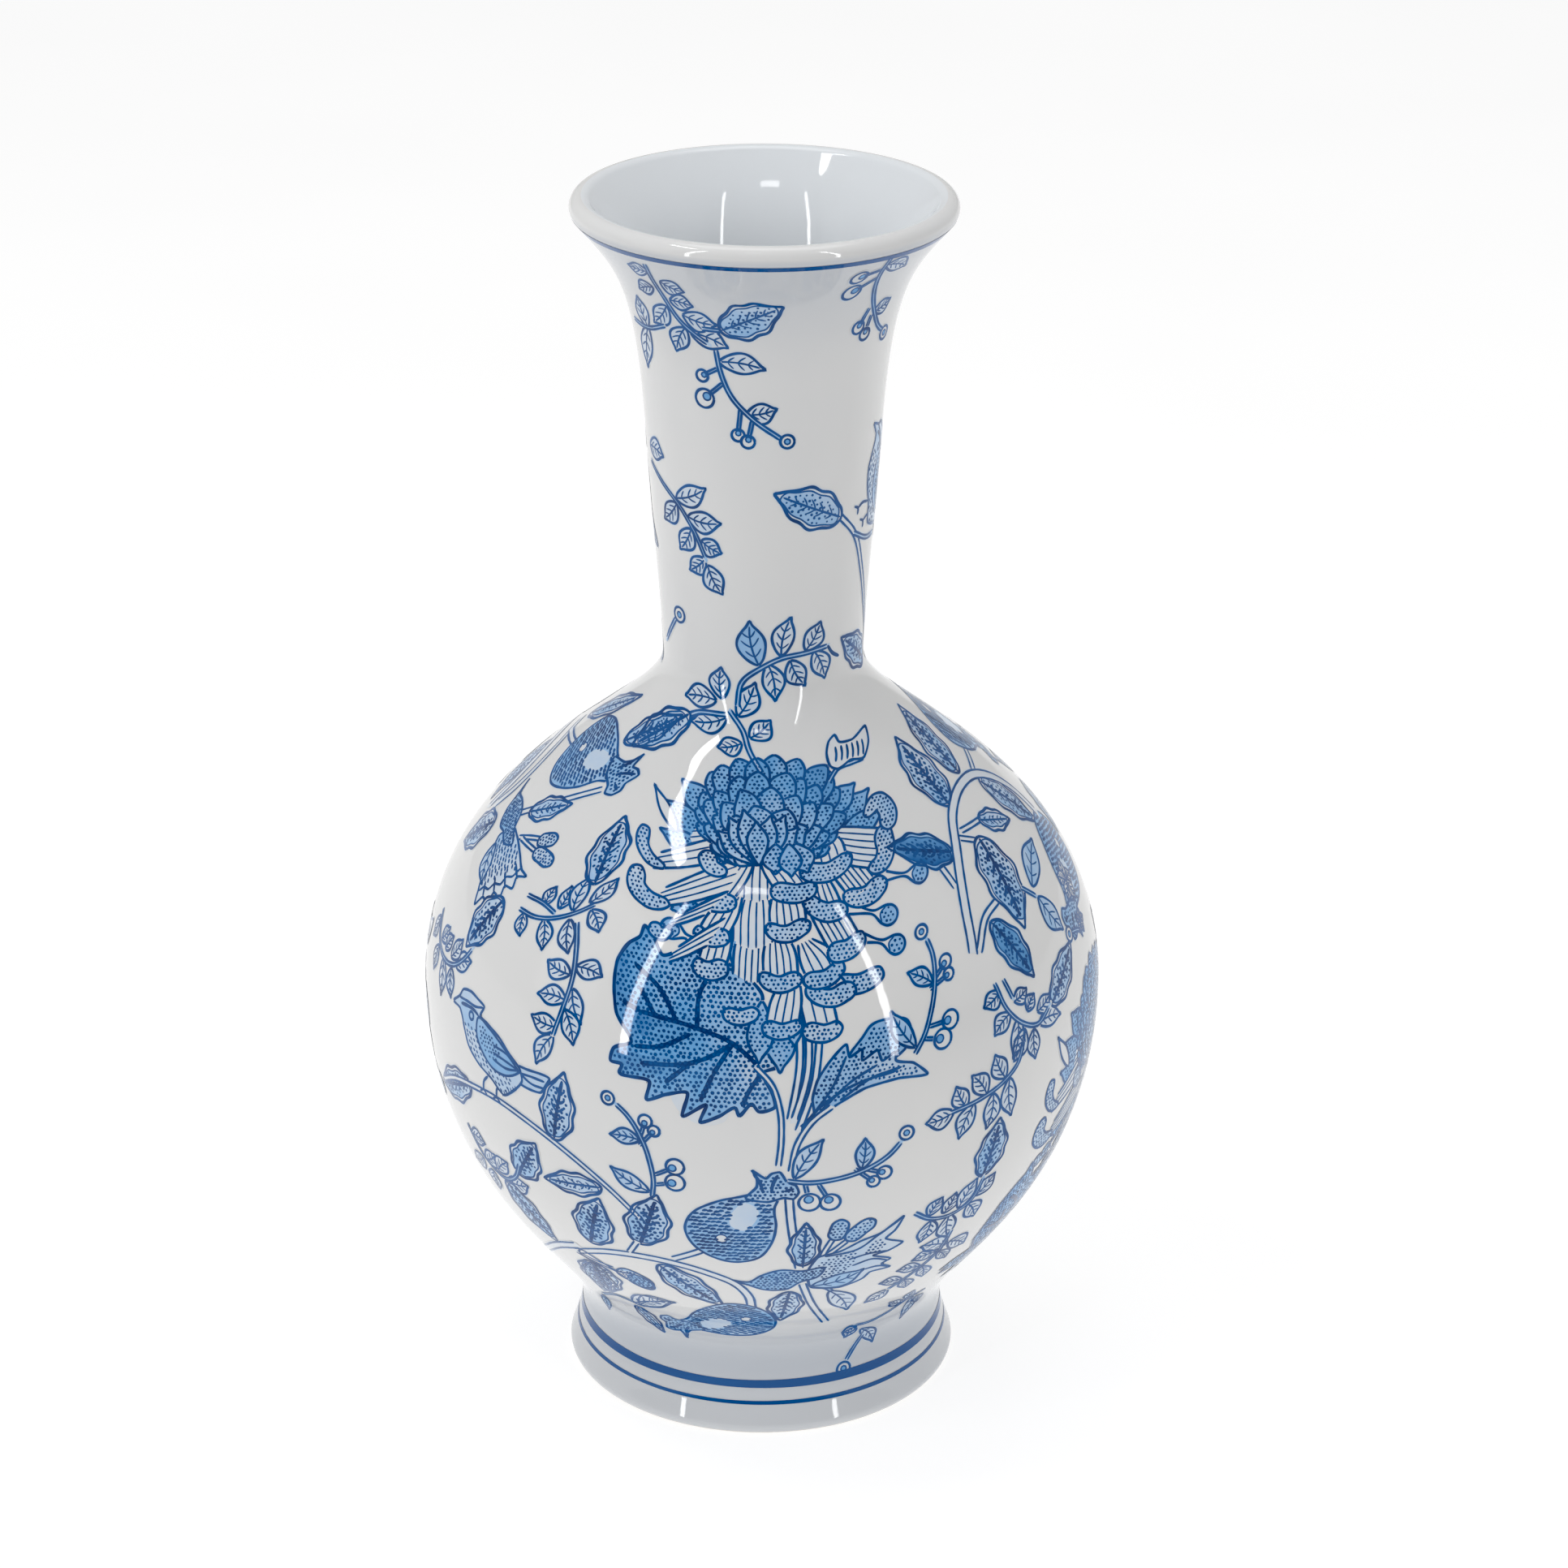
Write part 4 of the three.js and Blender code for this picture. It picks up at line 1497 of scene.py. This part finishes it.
def neck_spray():
    """Berries and leaflets that hang down the neck from under the rim, and a fern below them."""
    d = Drawing()
    leaflets(d, [(-24, 52, -32, 53), (-24, 44, -31, 41), (-20, 37, -27, 29), (-14, 30, -18, 21),
                 (-12, 29, 0, 25), (-20, 48, -12, 45), (-18, 40, -10, 39), (-14, 35, -3, 33),
                 (-31, 26, -34, 37), (-31, 26, -34, 11)], 7.4)
    stem(d, [(-22, 29), (-30, 26), (-41, 26)], 1.1)
    stem(d, [(-24, 56), (-23, 48), (-20, 40), (-16, 33), (-10, 28), (-5, 25)], 1.1)
    stem(d, [(-8, 31), (0, 31)], 1.1)
    stippled_leaf(d, (-2, 31), (18, 41), 13, boldness=0.6)
    berries(d, [((2, -4), 2, (3, 5)), ((5, -6), 2.1, (6.5, 1)), ((-8.5, 7), 3.1, (-2, 13)),
                ((-9, 14.5), 2, (-3, 18))])
    leaflets(d, [(-3, 20, 11, 18), (5, 3, 14, 5)], 7)
    stem(d, [(-4, 24), (-3, 17), (0, 9), (6, 2), (15, -5)], 1.1)
    berry(d, (17, -6), 2.2)
    leaflets(d, [(-37, -16, -27, -17), (-21, -29, -9, -23), (-21, -31, -28, -38), (-16, -34, -4, -34),
                 (-15, -38, -20, -46), (-11, -41, -4, -44), (-10, -47, -16, -52), (-9, -49, -4, -58)], 7.2)
    stem(d, [(-37, -21), (-28, -26), (-20, -31), (-14, -38), (-9, -48)], 1.0)
    return d


def rim_sprig():
    """A twig of berries that hangs from under the rim."""
    d = Drawing()
    berries(d, [((-12, -8), 2.7, (-5, -6)), ((-11, -15), 3, (-4, -10)), ((-2.5, -30.5), 2.2, (0, -24)),
                ((1, -33.5), 2.1, (2, -27))])
    leaflets(d, [(-4, -4, 7, -8), (3, -26, 10, -23)], 6.5)
    stem(d, [(-4.5, 0), (-4, -8), (-1, -18), (3, -26), (8, -33), (11, -35)], 1.1)
    berry(d, (12, -36), 2.3)
    return d


def throat_spray():
    """Ferns that climb from the shoulder onto the neck, and the tall leaf with a bird behind it."""
    d = Drawing()
    stem(d, [(19, 32), (27, 23), (32, 10), (36, -2), (41, -14), (47, -27)], 1.8)
    stippled_leaf(d, (20, 31), (-3, 42), 13, boldness=0.6)
    stem(d, [(26, 24), (34, 20), (42, 19)], 1.2)
    d.add(bird(), (40, 33), -58, 0.9)
    stem(d, [(-38, -6), (-46, -17)], 1.1)
    berry(d, (-36, -4), 2.6)
    leaflets(d, [(-7, -16, -10, -1)], 9, 0.4)
    leaflets(d, [(0, -13, 3, 0), (8, -12, 13, -3), (-4, -16, -2, -28), (3, -15, 8, -24), (11, -13, 15, -23),
                 (-14, -33, -8, -22), (-19, -28, -19, -18), (-21, -29, -33, -30), (-18, -34, -31, -37),
                 (-11, -40, -4, -34), (-14, -42, -22, -44)], 7)
    stem(d, [(-9, -52), (-12, -44), (-13, -38), (-17, -31)], 1.3)
    stem(d, [(-14, -30), (-12, -22), (-6, -17), (0, -14), (8, -13), (17, -12)], 1.2)
    d.stroke([(16, -12), (18, -15), (21, -17)], BOLD)
    stem(d, [(-18, -33), (-28, -34), (-34, -37)], 1.2)
    leaves(d, [(-31, -35, -57, -52, 10), (39, -24, 22, -11, 11)])
    return d


def quiet_left_shoulder():
    """The left shoulder without what would run into its neighbour at the back."""
    return left_shoulder(outer_vine=False)


def quiet_right_shoulder():
    """The right shoulder without what would run into its neighbour at the back."""
    return right_shoulder(fruits=False)


# Each part of the pattern: what is painted, and the azimuth and height of its middle. The back repeats
# the front, without the outer plants that would run into their neighbours.
PATTERN = {
    "front": [(blossom_spray, 0, 150)],
    "left": [(left_shoulder, -60, 200), (left_belly, -50, 140), (left_foot, -45, 85)],
    "right": [(right_shoulder, 58, 195), (right_belly, 55, 125), (low_blossom, 77, 56)],
    "back": [(blossom_spray, 180, 150)],
    "back_left": [(quiet_right_shoulder, -122, 195), (right_belly, -125, 125), (low_blossom, -103, 56)],
    "back_right": [(quiet_left_shoulder, 124, 200), (left_belly, 132, 140), (left_foot, 136, 85)],
    "neck": [(neck_spray, -15, 340), (throat_spray, 10, 275), (rim_sprig, 45, 394.5)],
    "back_neck": [(neck_spray, 165, 340), (throat_spray, 194, 275), (rim_sprig, 225, 394.5)],
}

# The painted rings: height of the middle and width up the wall.
BANDS = {"foot_lower_band": (11.0, 1.3), "foot_upper_band": (17.3, 3.0), "rim_band": (394.6, 2.2)}
BAND_WAVER = 0.05              # how much a ring's width varies round the vase


def paint_bands(band_paint):
    """Rings of cobalt that run right round the foot and the rim."""
    angle = np.linspace(0, 2 * math.pi, AROUND + 1)[:-1]
    for name, (height, width) in BANDS.items():
        rows = surface.arc_at(height) + np.linspace(-width / 2, width / 2, 5)
        angles, arcs = np.meshgrid(angle, rows)
        arcs = arcs + BAND_WAVER * width * np.sin(3 * angles + rows[0]) * np.sign(arcs - rows[2])
        points, directions = surface.place(angles.ravel(), arcs.ravel(), LINE_LIFT)
        index = np.arange(angles.size).reshape(angles.shape)
        ahead = np.roll(index, -1, axis=1)
        faces = np.stack([index[:-1], ahead[:-1], ahead[1:], index[1:]], -1).reshape(-1, 4)
        make_object(name, points, [faces], [directions[faces]], band_paint)


def paint_vase(line_paint, wash_paint):
    """Wrap every part of the pattern onto the wall, as one object of lines and one of washes each."""
    for name, parts in PATTERN.items():
        painting = Painting(name)
        for step, (draw, azimuth, height) in enumerate(parts):
            painting.apply(draw(), azimuth, height, step * LAYER_STEP)
        painting.build(line_paint, wash_paint)


# ---- camera, floor and lights ----------------------------------------------------------------------

CAMERA_DISTANCE = 1.320        # from the vase's axis, in metres
CAMERA_HEIGHT = 0.779
CAMERA_YAW = 0.297             # degrees to the right of the axis
CAMERA_PITCH = 23.51           # degrees downwards
CAMERA_ROLL = -0.288
CAMERA_LENS = 102.5
CAMERA_SENSOR = 36.0
BLACK_LEVEL = 0.008            # the photograph's deepest blues are almost free of glare
FLOOR_HALF = 6.0
PAPER_DARK = (0.29, 0.29, 0.29)
PAPER_PALE = (0.31, 0.31, 0.31)
FLOOR_GLOW = [(-0.62, 0.32), (-0.17, 0.79)]
SKY_GLOW = [(-0.7, 0.14), (0.2, 0.55)]
# Each softbox: azimuth, distance, height, size, power, and the height it is aimed at.
SOFTBOXES = {
    "strip_left": (-44, 1.6, 1.3, (0.085, 2.5), 12, 1.3),
    "strip_right": (42, 1.6, 1.3, (0.075, 2.5), 10, 1.3),
    "upper_left": (-75, 0.85, 1.84, (0.46, 0.10), 4, 0.23),
    "upper_middle": (-6, 0.80, 1.82, (0.30, 0.07), 0.7, 0.2),
    "fill_left": (-70, 1.7, 1.0, (0.8, 1.4), 2.2, 0.25),
    "fill_right": (75, 1.7, 1.0, (0.8, 1.4), 1.2, 0.25),
    "overhead": (180, 0.4, 2.0, (1.2, 0.9), 7, 0.2),
}


def build_camera():
    data = bpy.data.cameras.new("camera")
    data.sensor_width = CAMERA_SENSOR
    data.lens = CAMERA_LENS
    camera = bpy.data.objects.new("camera", data)
    bpy.context.scene.collection.objects.link(camera)
    turn = (Matrix.Rotation(math.radians(-CAMERA_YAW), 4, "Z")
            @ Matrix.Rotation(math.radians(90 - CAMERA_PITCH), 4, "X")
            @ Matrix.Rotation(math.radians(-CAMERA_ROLL), 4, "Z"))
    camera.matrix_world = Matrix.Translation((0, -CAMERA_DISTANCE, CAMERA_HEIGHT)) @ turn
    bpy.context.scene.camera = camera


def softbox(name, azimuth, distance, height, size, power, aim_height):
    """A rectangular area light; azimuth 0 is on the camera's side and grows to the viewer's right."""
    data = bpy.data.lights.new(name, "AREA")
    data.shape = "RECTANGLE"
    data.size, data.size_y = size
    data.energy = power
    light = bpy.data.objects.new(name, data)
    bpy.context.scene.collection.objects.link(light)
    angle = math.radians(azimuth)
    light.location = (distance * math.sin(angle), -distance * math.cos(angle), height)
    towards = Vector((0, 0, aim_height)) - light.location
    light.rotation_euler = towards.to_track_quat("-Z", "Y").to_euler()


def shade_along_y(tree, stops):
    """A grey that changes from the camera's side to the far side; stops are of y in metres and grey."""
    place = tree.nodes.new("ShaderNodeTexCoord")
    axes = tree.nodes.new("ShaderNodeSeparateXYZ")
    tree.links.new(place.outputs["Object"], axes.inputs[0])
    spread_out = tree.nodes.new("ShaderNodeMapRange")
    spread_out.inputs["From Min"].default_value = stops[0][0]
    spread_out.inputs["From Max"].default_value = stops[-1][0]
    tree.links.new(axes.outputs["Y"], spread_out.inputs["Value"])
    ramp = tree.nodes.new("ShaderNodeValToRGB")
    ramp.color_ramp.interpolation = "EASE"
    for element, (_, grey) in zip(ramp.color_ramp.elements, stops):
        element.color = (grey, grey, grey, 1)
    tree.links.new(spread_out.outputs[0], ramp.inputs[0])
    return ramp.outputs[0]


def build_stage():
    """White paper that glows behind the vase and falls off into grey on the camera's side."""
    mesh = bpy.data.meshes.new("floor")
    near, far = -FLOOR_HALF, FLOOR_HALF
    mesh.from_pydata([(near, near, 0), (far, near, 0), (far, far, 0), (near, far, 0)], [], [(0, 1, 2, 3)])
    floor = bpy.data.objects.new("floor", mesh)
    n = Nodes("floor_paper")
    n.shade(Base_Color=n.ramp(n.noise(3), [(0.3, PAPER_DARK), (0.7, PAPER_PALE)]),
            Emission_Color=shade_along_y(n.tree, FLOOR_GLOW), Emission_Strength=1.0,
            Roughness=0.9, Specular_IOR_Level=0.0)
    mesh.materials.append(n.material)
    bpy.context.scene.collection.objects.link(floor)


def build_light():
    scene = bpy.context.scene
    scene.view_settings.view_transform = "Standard"
    scene.view_settings.use_curve_mapping = True
    scene.view_settings.curve_mapping.black_level = (BLACK_LEVEL,) * 3
    scene.view_settings.curve_mapping.update()
    world = bpy.data.worlds.new("studio")
    scene.world = world
    world.use_nodes = True
    sky = world.node_tree.nodes["Background"]
    grey = shade_along_y(world.node_tree, SKY_GLOW)
    world.node_tree.links.new(grey, sky.inputs["Color"])
    for name, setting in SOFTBOXES.items():
        softbox(name, *setting)


porcelain = porcelain_material()
build_camera()
build_stage()
build_light()
build_body(porcelain, bare_material())
paint_vase(line_material(), wash_material())
paint_bands(band_material())
